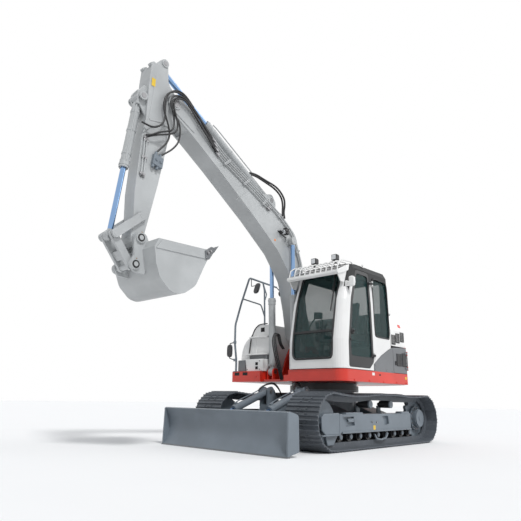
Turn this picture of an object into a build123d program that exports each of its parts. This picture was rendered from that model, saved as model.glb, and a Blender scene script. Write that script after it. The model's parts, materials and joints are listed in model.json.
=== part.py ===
from build123d import *
import math
import os

# Crawler excavator with a dozer blade, in millimetres.
# +X points forward, +Y to the machine's left and +Z up.
# The origin lies on the ground under the slewing axis.

# Tracks
TRACK_GAUGE = 1990
SHOE_WIDTH = 600
IDLER_X = 1563
SPROCKET_X = -1427
WHEEL_PITCH_RADIUS = 354
SHOE_COUNT = 48
SPROCKET_TEETH = 13
LINK_DEPTH = 45
PLATE_INNER = 36
PLATE_THICKNESS = 11
GROUSER_HEIGHT = 21
GROUSER_HALF = 13
RAIL_WIDTH = 36
RAIL_SPACING = 150
RUN_CLEARANCE = 0.3

# Rollers
ROLLER_COUNT = 9
ROLLER_FIRST_X = -1030
ROLLER_LAST_X = 1150
ROLLER_RADIUS = 76
CARRIER_XS = (263, -413)
SAG_FRONT = 42
SAG_MIDDLE = 6
SAG_REAR = 30

# Track frames and car body
FRAME_WIDTH = 300
GUARD_PLATE = 28
GUARD_INSIDE = FRAME_WIDTH / 2 - GUARD_PLATE
BEAM_REAR_X = -1045
BEAM_FRONT_X = 1225
DRIVE_PLATE = 60
FRAME_TOP = 514
FRAME_SKIRT = 254
FRAME_FLOOR = 290
CAR_FLOOR = 400
CAR_TOP = 894
RING_RADIUS = 620
RING_BORE = 430
UPPER_FLOOR = 1008
TOW_HOLE_X = -805
TOW_HOLE_RADIUS = 27
TOW_LUG_FLOOR = 430
TOW_LUG_THICKNESS = 40

# Dozer blade
BLADE_WIDTH = 2590
BLADE_TIP_X = 2618
BLADE_HEIGHT = 567
BLADE_DEPTH = 249
BLADE_PIVOT = (1330, 330)
BLADE_ARM_Y = 380
BLADE_ARM_WIDTH = 90
BLADE_FOOT = (1140, 845)
BLADE_LUG = (2255, 430)
BLADE_FOOT_PIN = 35
BLADE_EAR_Y = 77

# Upper frame, covers and tail
DECK_TOP = 1190
HOUSE_HALF = 1226
DECK_RIGHT = -1242
DECK_RIGHT_FRONT = 1164
TAIL_RADIUS = 1500
CORNER_RADIUS = 158
BOOM_BAY_LEFT = 156
BOOM_BAY_RIGHT = -530
WEIGHT_FRONT_X = -1010
WEIGHT_WING_X = -866
WEIGHT_WING_Y = 1090
HOOD_BOTTOM = 1668
WEIGHT_TOP = HOOD_BOTTOM - 0.3
HOOD_TOP = 2260
HOOD_FRONT_X = -385
PANEL_THICKNESS = 40
HOUSE_TOP = 2060

# Cab
CAB_FRONT = 1235
CAB_REAR = -345
CAB_INNER = 156
CAB_OUTER = 1226
CAB_FLOOR = 1200
CAB_ROOF = 2955
CAB_WALL = 55
ROOF_HOLES_X = -60
ROOF_HOLES_Y = 900
ROOF_SPACING_X = 120
ROOF_SPACING_Y = 80
ROOF_HOLE_RADIUS = 5.5
DOOR_GAP = 6
DOOR_THICKNESS = 45
GLASS_INSET = 16
GLASS_THICKNESS = 7

# Boom, arm and bucket, seen from the side
BOOM_CENTRE = -170
BOOM_HALF = 170
BOOM_FOOT = (448, 1525)
ARM_PIVOT = (3741, 5022)
BUCKET_PIN = (4188, 2766)
BOOM_EYE = (1820, 929)
BOOM_CYLINDER_FOOT = (953, 1184)
BOOM_CYLINDER_Y = 252
EAR_GAP = 5
ARM_CYLINDER_FOOT = (2612, 1113)
ARM_HALF = 138
ARM_EYE = (-550, 332)
BUCKET_CYLINDER_FOOT = (213, 515)
IDLER_PIN = (1966, 31)
LINK_PIN = (2373, 337)
PUSH_PIN = (2677, -23)
BUCKET_HALF = 480
EAR_INSIDE = 170
EAR_THICKNESS = 40
SIDE_GAP = 6

# Hinges of the door, side covers and hood
DOOR_HINGE = (290, 1250)
DOOR_HINGE_HEIGHTS = (1437, 2658)
DOOR_HINGE_PIN = 9
SIDE_HINGE = (-863, 1239)
SIDE_HINGE_HEIGHTS = (1290, 1560)
SIDE_HINGE_PIN = 6
HOOD_HINGE = (-371, 2252)
HOOD_HINGE_YS = (-300, 700)
HOOD_HINGE_PIN = 5
HINGE_PLAY = 0.3
HINGE_SPACE = 2
KNUCKLE_HALF = 18
CAB_MOUNT_RADIUS = 50


# Outlines and simple solids

def outline(corners, place):
    """Closed wire through (p, q) or (p, q, corner radius) points; place gives their position."""
    starts, middles, ends = [], [], []
    count = len(corners)
    for index, corner in enumerate(corners):
        here = place(corner[0], corner[1])
        radius = corner[2] if len(corner) > 2 else 0
        if not radius:
            starts.append(here)
            middles.append(None)
            ends.append(here)
            continue
        before = corners[index - 1]
        after = corners[(index + 1) % count]
        back = (place(before[0], before[1]) - here).normalized()
        ahead = (place(after[0], after[1]) - here).normalized()
        half = math.radians(back.get_angle(ahead)) / 2
        reach = radius / math.tan(half)
        inward = (back + ahead).normalized()
        starts.append(here + back * reach)
        middles.append(here + inward * (radius / math.sin(half) - radius))
        ends.append(here + ahead * reach)
    edges = []
    for index in range(count):
        if middles[index] is not None:
            edges.append(Edge.make_three_point_arc(starts[index], middles[index], ends[index]))
        following = starts[(index + 1) % count]
        if (following - ends[index]).length > 0.001:
            edges.append(Edge.make_line(ends[index], following))
    return Wire(edges)


def slab_y(corners, low, high):
    """Solid with an XZ outline between two Y values."""
    face = Face(outline(corners, lambda p, q: Vector(p, low, q)))
    return Solid.extrude(face, Vector(0, high - low, 0))


def slab_z(corners, low, high):
    """Solid with an XY outline between two heights."""
    face = Face(outline(corners, lambda p, q: Vector(p, q, low)))
    return Solid.extrude(face, Vector(0, 0, high - low))


def slab_x(corners, low, high):
    """Solid with a YZ outline between two X values."""
    face = Face(outline(corners, lambda p, q: Vector(low, p, q)))
    return Solid.extrude(face, Vector(high - low, 0, 0))


def block(x0, x1, y0, y1, z0, z1):
    return Solid.make_box(x1 - x0, y1 - y0, z1 - z0, Plane((x0, y0, z0)))


def bar(start, end, radius):
    """Round bar between two points."""
    axis = Vector(*end) - Vector(*start)
    return Solid.make_cylinder(radius, axis.length, Plane(origin=Vector(*start), z_dir=axis))


def disc(centre, radius, low, high):
    """Round disc or boss across the machine, at an (x, z) centre."""
    plane = Plane(origin=(centre[0], low, centre[1]), z_dir=(0, 1, 0))
    return Solid.make_cylinder(radius, high - low, plane)


def joined(*shapes):
    """One part from touching or crossing solids."""
    return Part() + list(shapes)


def mirrored(shape):
    return shape.mirror(Plane.XZ)


def moved_y(shape, distance):
    return Pos(0, distance, 0) * shape


def upright(x, y, radius, low, high):
    """Round pin, boss or hole with an upright axis."""
    return Solid.make_cylinder(radius, high - low, Plane((x, y, low)))


# Places on the boom and the arm

class SideFrame:
    """A side-view frame with its own origin and direction of its first axis."""

    def __init__(self, origin, toward):
        self.origin = origin
        self.angle = math.atan2(toward[1] - origin[1], toward[0] - origin[0])
        self.length = math.hypot(toward[0] - origin[0], toward[1] - origin[1])

    def at(self, along, across):
        cosine, sine = math.cos(self.angle), math.sin(self.angle)
        return (
            self.origin[0] + along * cosine - across * sine,
            self.origin[1] + along * sine + across * cosine,
        )

    def corners(self, points):
        return [self.at(p[0], p[1]) + tuple(p[2:]) for p in points]


BOOM = SideFrame(BOOM_FOOT, ARM_PIVOT)
ARM = SideFrame(ARM_PIVOT, BUCKET_PIN)


# Track loop

def track_line():
    """Points of the chain's pitch line, from the bottom rear forwards and round."""
    ground = PLATE_INNER + PLATE_THICKNESS + GROUSER_HEIGHT
    centre = ground + WHEEL_PITCH_RADIUS
    top = centre + WHEEL_PITCH_RADIUS
    points = [(SPROCKET_X, ground), (IDLER_X, ground)]
    for step in range(1, 36):
        turn = math.radians(-90 + 180 * step / 36)
        points.append((
            IDLER_X + WHEEL_PITCH_RADIUS * math.cos(turn),
            centre + WHEEL_PITCH_RADIUS * math.sin(turn),
        ))
    supports = (IDLER_X,) + CARRIER_XS + (SPROCKET_X,)
    for start, end, sag in zip(supports, supports[1:], (SAG_FRONT, SAG_MIDDLE, SAG_REAR)):
        for step in range(12):
            part = step / 12
            points.append((start + (end - start) * part, top - 4 * sag * part * (1 - part)))
    for step in range(0, 36):
        turn = math.radians(90 + 180 * step / 36)
        points.append((
            SPROCKET_X + WHEEL_PITCH_RADIUS * math.cos(turn),
            centre + WHEEL_PITCH_RADIUS * math.sin(turn),
        ))
    return points, centre


def loop_joints():
    """Pin places of the chain, evenly spaced round the loop, and the pitch."""
    points, centre = track_line()
    closed = points + points[:1]
    lengths = [math.dist(a, b) for a, b in zip(closed, closed[1:])]
    pitch = sum(lengths) / SHOE_COUNT
    joints = []
    index = 0
    walked = 0
    for shoe in range(SHOE_COUNT):
        target = shoe * pitch
        while walked + lengths[index] < target:
            walked += lengths[index]
            index += 1
        share = (target - walked) / lengths[index]
        a, b = closed[index], closed[index + 1]
        joints.append((a[0] + (b[0] - a[0]) * share, a[1] + (b[1] - a[1]) * share))
    return joints, pitch, centre


JOINTS, LINK_PITCH, WHEEL_HEIGHT = loop_joints()


def on_link(index, along, outward):
    """Point beside a link: along it from its pin, and out from the loop."""
    a = JOINTS[index % SHOE_COUNT]
    b = JOINTS[(index + 1) % SHOE_COUNT]
    span = math.dist(a, b)
    ux, uz = (b[0] - a[0]) / span, (b[1] - a[1]) / span
    return (a[0] + ux * along + uz * outward, a[1] + uz * along - ux * outward)


def at_joint(index, outward):
    """Point beside a pin, midway between the two links' own normals."""
    first = on_link(index - 1, LINK_PITCH, outward)
    second = on_link(index, 0, outward)
    return ((first[0] + second[0]) / 2, (first[1] + second[1]) / 2)


def ring_between(outer, inner, low, high):
    """Closed loop of constant width with an outer and an inner outline."""
    face = Face(
        outline(outer, lambda p, q: Vector(p, low, q)),
        [outline(inner, lambda p, q: Vector(p, low, q))],
    )
    return Solid.extrude(face, Vector(0, high - low, 0))


def track_loop(centre_y):
    """Shoes with three grousers each on a chain of two rails."""
    plate = PLATE_INNER + PLATE_THICKNESS
    tip = plate + GROUSER_HEIGHT
    lugs = (GROUSER_HALF + 4, LINK_PITCH / 2, LINK_PITCH - GROUSER_HALF - 4)
    shoes, seats, rails = [], [], []
    for index in range(SHOE_COUNT):
        for lug in lugs:
            shoes.append(on_link(index, lug - GROUSER_HALF, plate))
            shoes.append(on_link(index, lug, tip))
            shoes.append(on_link(index, lug + GROUSER_HALF, plate))
        seats.append(at_joint(index, PLATE_INNER))
        rails.append(on_link(index, LINK_PITCH * 0.14, -LINK_DEPTH))
        rails.append(on_link(index, LINK_PITCH * 0.86, -LINK_DEPTH))
    half = SHOE_WIDTH / 2
    band = ring_between(shoes, seats, centre_y - half, centre_y + half)
    solids = [band]
    for side in (-1, 1):
        middle = centre_y + side * RAIL_SPACING / 2
        solids.append(ring_between(seats, rails, middle - RAIL_WIDTH / 2, middle + RAIL_WIDTH / 2))
    return joined(*solids)


def idler(centre_y):
    """Front idler: two treads under the rails and a guide flange between them."""
    tread = WHEEL_PITCH_RADIUS * math.cos(LINK_PITCH / WHEEL_PITCH_RADIUS / 2) - LINK_DEPTH - 0.6
    centre = (IDLER_X, WHEEL_HEIGHT)
    outer = RAIL_SPACING / 2 + RAIL_WIDTH / 2
    inner = RAIL_SPACING / 2 - RAIL_WIDTH / 2 - 4
    wheel = joined(
        disc(centre, tread, centre_y - outer, centre_y + outer),
        disc(centre, tread + 18, centre_y - inner, centre_y + inner),
        disc(centre, 70, centre_y - GUARD_INSIDE + RUN_CLEARANCE, centre_y + GUARD_INSIDE - RUN_CLEARANCE),
    )
    return wheel


def sprocket(centre_y):
    """Drive sprocket whose teeth stand between the chain's pins, with its final drive."""
    rear = max(range(SHOE_COUNT), key=lambda i: -JOINTS[i][0])
    pin = JOINTS[rear]
    start = math.atan2(pin[1] - WHEEL_HEIGHT, pin[0] - SPROCKET_X)
    step = 2 * math.pi / SPROCKET_TEETH
    # radius and share of the tooth pitch of each corner of a tooth
    tooth = ((318, -0.16), (318, 0.16), (366, 0.38), (366, 0.62))
    corners = []
    for index in range(SPROCKET_TEETH):
        for radius, share in tooth:
            turn = start + step * (index + share)
            corners.append((
                SPROCKET_X + radius * math.cos(turn),
                WHEEL_HEIGHT + radius * math.sin(turn),
            ))
    centre = (SPROCKET_X, WHEEL_HEIGHT)
    return joined(
        slab_y(corners, centre_y - 24, centre_y + 24),
        disc(centre, 215, centre_y - FRAME_WIDTH / 2 + DRIVE_PLATE + RUN_CLEARANCE, centre_y + 70),
        disc(centre, 165, centre_y + 70, centre_y + 128),
    )


def roller_xs():
    step = (ROLLER_LAST_X - ROLLER_FIRST_X) / (ROLLER_COUNT - 1)
    return [ROLLER_FIRST_X + step * index for index in range(ROLLER_COUNT)]


def carrier_radius(x, height):
    """Largest roller at this centre that leaves the rails their running clearance."""
    nearest = 1000
    for index in range(SHOE_COUNT):
        start = on_link(index, LINK_PITCH * 0.14, -LINK_DEPTH)
        end = on_link(index, LINK_PITCH * 0.86, -LINK_DEPTH)
        for step in range(41):
            share = step / 40
            point = (start[0] + (end[0] - start[0]) * share, start[1] + (end[1] - start[1]) * share)
            nearest = min(nearest, math.dist(point, (x, height)))
    return nearest - 1


def rollers(centre_y):
    """Bottom rollers in a row and two carrier rollers on their brackets."""
    ground = PLATE_INNER + PLATE_THICKNESS + GROUSER_HEIGHT
    height = ground + LINK_DEPTH + RUN_CLEARANCE + ROLLER_RADIUS
    outer = RAIL_SPACING / 2 + RAIL_WIDTH / 2
    solids = []
    for x in roller_xs():
        solids.append(joined(
            disc((x, height), ROLLER_RADIUS, centre_y - outer, centre_y + outer),
            disc((x, height), 34, centre_y - 118, centre_y + 118),
            block(x - 45, x + 45, centre_y - 118, centre_y - 98, height - 45, FRAME_FLOOR - RUN_CLEARANCE),
            block(x - 45, x + 45, centre_y + 98, centre_y + 118, height - 45, FRAME_FLOOR - RUN_CLEARANCE),
        ))
    for x in CARRIER_XS:
        carrier = (x, 664)
        solids.append(joined(
            disc(carrier, carrier_radius(x, 664), centre_y - outer, centre_y + outer),
            disc(carrier, 26, centre_y - 140, centre_y + 108),
        ))
    return solids


def track_frame(centre_y):
    """Box beam with roller skirts, idler guard plates and recesses in its outer face."""
    half = FRAME_WIDTH / 2
    beam = slab_y([
        (BEAM_REAR_X, FRAME_FLOOR), (BEAM_FRONT_X, FRAME_FLOOR),
        (BEAM_FRONT_X, FRAME_TOP), (BEAM_REAR_X, FRAME_TOP),
    ], centre_y - half, centre_y + half)
    solids = [beam]
    for side in (-1, 1):
        low, high = sorted((centre_y + side * GUARD_INSIDE, centre_y + side * half))
        solids.append(slab_y([
            (BEAM_REAR_X, FRAME_FLOOR), (BEAM_REAR_X + 20, FRAME_SKIRT),
            (BEAM_FRONT_X, FRAME_SKIRT), (BEAM_FRONT_X, FRAME_FLOOR),
        ], low, high))
        solids.append(slab_y([
            (BEAM_FRONT_X, FRAME_SKIRT), (1590, 229), (1695, 400), (1680, 500, 20),
            (1330, FRAME_TOP), (BEAM_FRONT_X, FRAME_TOP),
        ], low, high))
    inner_low, inner_high = centre_y - half, centre_y - half + DRIVE_PLATE
    solids.append(slab_y([
        (BEAM_REAR_X, FRAME_FLOOR), (-1620, FRAME_FLOOR + 20, 60), (-1639, 500, 60),
        (BEAM_REAR_X, FRAME_TOP),
    ], inner_low, inner_high))
    frame = joined(*solids)
    # window, front and rear end of each recess at its top
    for front, rear in ((1130, 820), (-40, -240)):
        frame -= slab_y([
            (front, 480), (rear, 480), (rear - 20, 350), (front - 90, 330),
        ], centre_y + half - 40, centre_y + half + 1)
    for x in CARRIER_XS:
        low = centre_y - half + 8
        frame += block(x - 55, x + 55, low, low + 24, FRAME_TOP, 664 - 26.1)
        frame += block(x - 55, x + 55, centre_y - half, low + 24, FRAME_TOP - 10, FRAME_TOP + 10)
    return frame


def car_body():
    """Centre drum with four legs to the track frames and the blade's brackets in front."""
    inner_face = TRACK_GAUGE / 2 - FRAME_WIDTH / 2
    drum = Solid.make_cylinder(540, CAR_TOP - CAR_FLOOR - 40, Plane((0, 0, CAR_FLOOR + 40)))
    flange = Solid.make_cylinder(RING_RADIUS, 34, Plane((0, 0, CAR_TOP - 34)))
    solids = [drum, flange, block(-620, 620, -430, 430, CAR_FLOOR, 690)]
    for side_x in (-1, 1):
        for side_y in (-1, 1):
            solids.append(slab_x([
                (side_y * 300, CAR_FLOOR), (side_y * inner_face, 300),
                (side_y * inner_face, 500), (side_y * 300, 690),
            ], *sorted((side_x * 330, side_x * 800))))
    solids.append(slab_y([
        (600, CAR_FLOOR), (1180, 380), (1250, 450), (1230, 620), (600, 690),
    ], -460, 460))
    # flat tow lug behind, with an upright hole
    tow_lug = slab_z([(-600, -110), (TOW_HOLE_X - 62, -62, 60), (TOW_HOLE_X - 62, 62, 60), (-600, 110)],
                     TOW_LUG_FLOOR, TOW_LUG_FLOOR + TOW_LUG_THICKNESS)
    tow_hole = Solid.make_cylinder(TOW_HOLE_RADIUS, TOW_LUG_THICKNESS + 2,
                                   Plane((TOW_HOLE_X, 0, TOW_LUG_FLOOR - 1)))
    body = joined(*solids, tow_lug) - tow_hole
    for side in (-1, 1):
        for edge in (-1, 1):
            y = side * BLADE_ARM_Y + edge * (BLADE_ARM_WIDTH / 2 + 22)
            body += slab_y([
                (1120, 370), (1300, 250, 30), (1410, 300, 60), (1400, 420, 50), (1180, 600),
            ], y - 16, y + 16)
            y = side * BLADE_ARM_Y + edge * BLADE_EAR_Y
            body += slab_y([
                (900, 600), (1040, 860, 30), (1110, 930, 50), (1215, 900, 50), (1225, 600),
            ], y - 14, y + 14)
    return body - disc(BLADE_PIVOT, 40.1, -600, 600) - disc(BLADE_FOOT, BLADE_FOOT_PIN + 0.1, -600, 600)


def slew_ring():
    ring = Solid.make_cylinder(RING_RADIUS, 70, Plane((0, 0, CAR_TOP)))
    upper = Solid.make_cylinder(RING_RADIUS - 30, UPPER_FLOOR - CAR_TOP - 70.3,
                                Plane((0, 0, CAR_TOP + 70)))
    bore = Solid.make_cylinder(RING_BORE, 200, Plane((0, 0, CAR_TOP - 5)))
    return joined(ring, upper) - bore


# Dozer blade

def dozer_blade():
    """Curved mouldboard with end plates, a box behind it and two arms to the pivot."""
    half = BLADE_WIDTH / 2
    back_x = BLADE_TIP_X - BLADE_DEPTH
    # the front face is hollow: bottom, middle and top
    board = Wire([
        Edge.make_three_point_arc((2596, -half, 20), (2490, -half, 290), (2588, -half, 555)),
        Edge.make_line((2588, -half, 555), (2560, -half, BLADE_HEIGHT)),
        Edge.make_three_point_arc((2560, -half, BLADE_HEIGHT), (2462, -half, 290), (2560, -half, 20)),
        Edge.make_line((2560, -half, 20), (2596, -half, 20)),
    ])
    mould = Solid.extrude(Face(board), Vector(0, BLADE_WIDTH, 0))
    beam = slab_y([(back_x, 120), (2480, 90), (2480, 400), (back_x, 350)], -half + 26, half - 26)
    ribs = []
    for y in (-1050, -620, 620, 1050):
        ribs.append(slab_y([(2400, 340), (2478, 380), (2520, 520), (2500, 530)], y - 12, y + 12))
    solids = [mould, beam] + ribs
    for side in (-1, 1):
        low, high = sorted((side * (half - 26), side * half))
        solids.append(slab_y([
            (2600, 20), (back_x, 60), (back_x + 10, 520, 50), (2560, BLADE_HEIGHT), (2590, 555),
        ], low, high))
        y = side * BLADE_ARM_Y
        w = BLADE_ARM_WIDTH / 2
        solids.append(slab_y([
            (BLADE_PIVOT[0] - 62, 300, 40), (BLADE_PIVOT[0] - 62, 392, 40),
            (1900, 400), (2400, 340), (2400, 130), (1900, 190), (1400, 268, 30),
        ], y - w, y + w))
        for edge in (-1, 1):
            ear = y + edge * 50
            solids.append(slab_y([
                (2380, 345), (2180, 390, 30), (2190, 490, 40), (2310, 490, 40), (2478, 345),
            ], ear - 12, ear + 12))
    solids.append(block(2050, 2130, -BLADE_ARM_Y, BLADE_ARM_Y, 220, 320))
    blade = joined(*solids)
    for side in (-1, 1):
        for edge in (-1, 1):
            low, high = sorted((side * BLADE_ARM_Y + edge * 60, side * BLADE_ARM_Y + edge * 74))
            blade += disc(BLADE_LUG, 36, low, high)
    return blade - disc(BLADE_PIVOT, 40.1, -600, 600)


def cutting_edge():
    half = BLADE_WIDTH / 2
    return slab_y([(2596.4, 20), (BLADE_TIP_X, 0), (2600, 0), (2560, 0), (2560, 19.7), (2596, 19.7)],
                  -half, half)


def blade_pins():
    """The blade's pivot pins and its cylinders' foot pins, held in the car body's ears."""
    pins = []
    for side in (-1, 1):
        y = side * BLADE_ARM_Y
        pins.append(disc(BLADE_PIVOT, 40, y - 95, y + 95))
        pins.append(disc(BLADE_FOOT, BLADE_FOOT_PIN, y - BLADE_EAR_Y - 24, y + BLADE_EAR_Y + 24))
    return pins


# Hydraulic cylinders

def barrel_solid(foot, eye, y, reach, outer, bore, rod, eye_width, eye_radius, pin_radius):
    """Barrel with its foot eye, tube, end wall and gland; reach is foot pin to gland face."""
    axis = Vector(eye[0] - foot[0], 0, eye[1] - foot[1]).normalized()
    start = Vector(foot[0], y, foot[1])
    tube_start = eye_radius + 34
    closed = tube_start + 20
    neck = bar(start + axis * eye_radius * 0.6, start + axis * (tube_start + 5), outer * 0.72)
    tube = bar(start + axis * tube_start, start + axis * reach, outer)
    head = bar(start + axis * (reach - 110), start + axis * reach, outer + 6)
    foot_eye = disc(foot, eye_radius, y - eye_width / 2, y + eye_width / 2)
    solid = joined(neck, tube, head, foot_eye)
    solid -= bar(start + axis * closed, start + axis * (reach - 70), bore)
    solid -= bar(start + axis * (reach - 71), start + axis * (reach + 1), rod + 0.3)
    return solid - disc(foot, pin_radius, y - eye_width, y + eye_width)


def rod_solid(foot, eye, y, length, rod, bore, eye_width, eye_radius):
    """Rod with its eye and the piston in the barrel; length is eye pin to piston end."""
    axis = Vector(foot[0] - eye[0], 0, foot[1] - eye[1]).normalized()
    start = Vector(eye[0], y, eye[1])
    shaft = bar(start + axis * eye_radius * 0.5, start + axis * (length - 60), rod)
    piston = bar(start + axis * (length - 60), start + axis * length, bore - 0.4)
    end = disc(eye, eye_radius, y - eye_width / 2, y + eye_width / 2)
    return joined(shaft, piston, end)


def build_undercarriage():
    nodes = {"car_body": car_body(), "slew_ring": slew_ring()}
    half = TRACK_GAUGE / 2
    for name, side in (("left", 1), ("right", -1)):
        frame = track_frame(half)
        wheels = sprocket(half)
        loop = track_loop(half)
        if side < 0:
            frame, wheels, loop = mirrored(frame), mirrored(wheels), mirrored(loop)
        nodes["track_frame_" + name] = frame
        nodes["track_" + name] = loop
        nodes["sprocket_" + name] = wheels
    nodes["idlers"] = [idler(half), idler(-half)]
    row = rollers(half)
    nodes["rollers"] = row + [mirrored(piece) for piece in row]
    nodes["dozer_blade"] = dozer_blade()
    nodes["blade_edge"] = cutting_edge()
    nodes["blade_pins"] = blade_pins()
    barrels, rods = [], []
    for side in (-1, 1):
        y = side * BLADE_ARM_Y
        barrels.append(barrel_solid(BLADE_FOOT, BLADE_LUG, y, 850, 58, 45, 30, 116, 60, BLADE_FOOT_PIN + 0.1))
        rods.append(rod_solid(BLADE_FOOT, BLADE_LUG, y, 650, 30, 45, 66, 52))
    nodes["blade_barrels"] = barrels
    nodes["blade_rods"] = rods
    return nodes


# Upper frame

def deck_plan(inset=0):
    """Plan of the red frame, with the tail's arc and a rounded corner under the cab."""
    left = HOUSE_HALF - inset
    right = DECK_RIGHT + inset
    tail = TAIL_RADIUS - inset
    points = [
        (CAB_FRONT - 16, left, CORNER_RADIUS), (-math.sqrt(tail ** 2 - left ** 2), left),
    ]
    start = math.atan2(left, points[-1][0])
    end = 2 * math.pi + math.atan2(right, -math.sqrt(tail ** 2 - right ** 2))
    for step in range(1, 12):
        turn = start + (end - start) * step / 12
        points.append((tail * math.cos(turn), tail * math.sin(turn)))
    points.append((-math.sqrt(tail ** 2 - right ** 2), right))
    points.append((DECK_RIGHT_FRONT, right, 40))
    points.append((DECK_RIGHT_FRONT, BOOM_BAY_RIGHT))
    points.append((560, BOOM_BAY_RIGHT))
    points.append((560, BOOM_BAY_LEFT))
    points.append((CAB_FRONT - 16, BOOM_BAY_LEFT))
    return points


def upper_frame():
    """Deck with rails, the boom's foot bracket and the ears of its cylinders."""
    frame = slab_z(deck_plan(), UPPER_FLOOR, DECK_TOP)
    floor = slab_z([
        (500, BOOM_BAY_RIGHT), (1110, BOOM_BAY_RIGHT, 60), (1110, BOOM_BAY_LEFT), (500, BOOM_BAY_LEFT),
    ], UPPER_FLOOR, UPPER_FLOOR + 40)
    nose_end = block(1100, CAB_FRONT - 16, 57, BOOM_BAY_LEFT, UPPER_FLOOR, 1110)
    frame = joined(frame, floor, nose_end)
    for side in (-1, 1):
        y = BOOM_CENTRE + side * (BOOM_HALF + 4 + 18)
        frame += slab_y([
            (-200, DECK_TOP - 20), (-150, 1320), (350, 1640, 60), (530, 1650, 100),
            (665, 1420, 80), (800, UPPER_FLOOR + 30), (-200, UPPER_FLOOR + 30),
        ], y - 18, y + 18)
        for edge in (-1, 1):
            ear = BOOM_CENTRE + side * BOOM_CYLINDER_Y + edge * (45 + EAR_GAP + 10)
            frame += slab_y([
                (780, UPPER_FLOOR + 30), (870, 1230, 60), (1026, 1250, 70), (1026, UPPER_FLOOR + 30),
            ], ear - 10, ear + 10)
    frame -= disc(BOOM_FOOT, 50.1, BOOM_CENTRE - 260, BOOM_CENTRE + 260)
    return frame - disc(BOOM_CYLINDER_FOOT, 42.1, BOOM_CENTRE - 420, BOOM_CENTRE + 420)


def tail_arc(radius, front_x, low_y, high_y, steps=10):
    """Plan points along the tail's circle from one side to the other."""
    start = math.atan2(high_y, -math.sqrt(max(radius ** 2 - high_y ** 2, 0)))
    end = 2 * math.pi + math.atan2(low_y, -math.sqrt(max(radius ** 2 - low_y ** 2, 0)))
    points = [(front_x, low_y), (front_x, high_y)]
    for step in range(steps + 1):
        turn = start + (end - start) * step / steps
        points.append((radius * math.cos(turn), radius * math.sin(turn)))
    return points


def counterweight():
    """Cast tail weight whose wings reach forward to the side doors."""
    side = HOUSE_HALF - 4
    arc = tail_arc(TAIL_RADIUS - 2, WEIGHT_WING_X, -side, side)
    plan = [(WEIGHT_FRONT_X, -WEIGHT_WING_Y), (WEIGHT_FRONT_X, WEIGHT_WING_Y), (WEIGHT_WING_X, WEIGHT_WING_Y)]
    plan += arc[1:] + [arc[0], (WEIGHT_WING_X, -WEIGHT_WING_Y)]
    weight = slab_z(plan, DECK_TOP + RUN_CLEARANCE, WEIGHT_TOP)
    return joined(weight, side_hinge_pins(), mirrored(side_hinge_pins()))


def engine_block():
    return block(-960, -560, -420, 620, DECK_TOP + 40, 1630)


def engine_mounts():
    mounts = []
    for x in (-900, -620):
        for y in (-380, 580):
            mounts.append(block(x - 30, x + 30, y - 30, y + 30, DECK_TOP, DECK_TOP + 39.7))
    return mounts


def left_panel():
    """Fixed grey panel under the cab's rear, with its rising arch."""
    return slab_y([
        (285, DECK_TOP + RUN_CLEARANCE), (-368, DECK_TOP + RUN_CLEARANCE), (-368, 1630), (-350, 1625),
        (-180, 1560), (60, 1450), (285, 1307),
    ], HOUSE_HALF - 50, HOUSE_HALF)


def service_door():
    """Left side door of the engine room, hinged at its rear edge."""
    panel = slab_y([
        (-376, DECK_TOP + 8), (-860, DECK_TOP + 8), (-860, HOOD_BOTTOM - 12), (-376, HOOD_BOTTOM - 36),
    ], HOUSE_HALF - PANEL_THICKNESS, HOUSE_HALF)
    x, y = SIDE_HINGE
    for z in SIDE_HINGE_HEIGHTS:
        strap = slab_z([(x, y - 5), (x + 8, HOUSE_HALF - 6), (x + 70, HOUSE_HALF - 6), (x + 70, y - 3), (x, y + 11)],
                       z - KNUCKLE_HALF, z + KNUCKLE_HALF)
        knuckle = upright(x, y, SIDE_HINGE_PIN + 5, z - KNUCKLE_HALF, z + KNUCKLE_HALF)
        bore = upright(x, y, SIDE_HINGE_PIN + HINGE_PLAY, z - KNUCKLE_HALF - 1, z + KNUCKLE_HALF + 1)
        panel = joined(panel, strap, knuckle) - bore
    return panel


def side_hinge_pins():
    """Pins of the left side door, each between two lugs on the counterweight's wing."""
    x, y = SIDE_HINGE
    solids = []
    for z in SIDE_HINGE_HEIGHTS:
        reach = KNUCKLE_HALF + HINGE_SPACE + 12
        solids.append(upright(x, y, SIDE_HINGE_PIN, z - reach, z + reach))
        for low in (z - reach, z + reach - 12):
            solids.append(slab_z([(x - 5, 1190), (x - 70, 1190), (x - 70, y - 20), (x - 5, y + 11)], low, low + 12))
            solids.append(upright(x, y, SIDE_HINGE_PIN + 5, low, low + 12))
    return joined(*solids)


def bulkhead():
    """Wall between the engine room and the boom's bay, with posts up to the hood's hinges."""
    x, z = HOOD_HINGE
    solids = [block(-372, -352, BOOM_BAY_RIGHT, HOUSE_HALF - 60, DECK_TOP + RUN_CLEARANCE, HOOD_BOTTOM - 8)]
    for y in HOOD_HINGE_YS:
        reach = KNUCKLE_HALF + HINGE_SPACE + 12
        solids.append(disc(HOOD_HINGE, HOOD_HINGE_PIN, y - reach, y + reach))
        solids.append(block(-366, -354, y - reach, y + reach, HOOD_BOTTOM - 40, z - 40))
        for low in (y - reach, y + reach - 12):
            solids.append(block(x - 2, -354, low, low + 12, z - 60, z))
            solids.append(disc(HOOD_HINGE, HOOD_HINGE_PIN + 4, low, low + 12))
    return joined(*solids)


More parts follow.
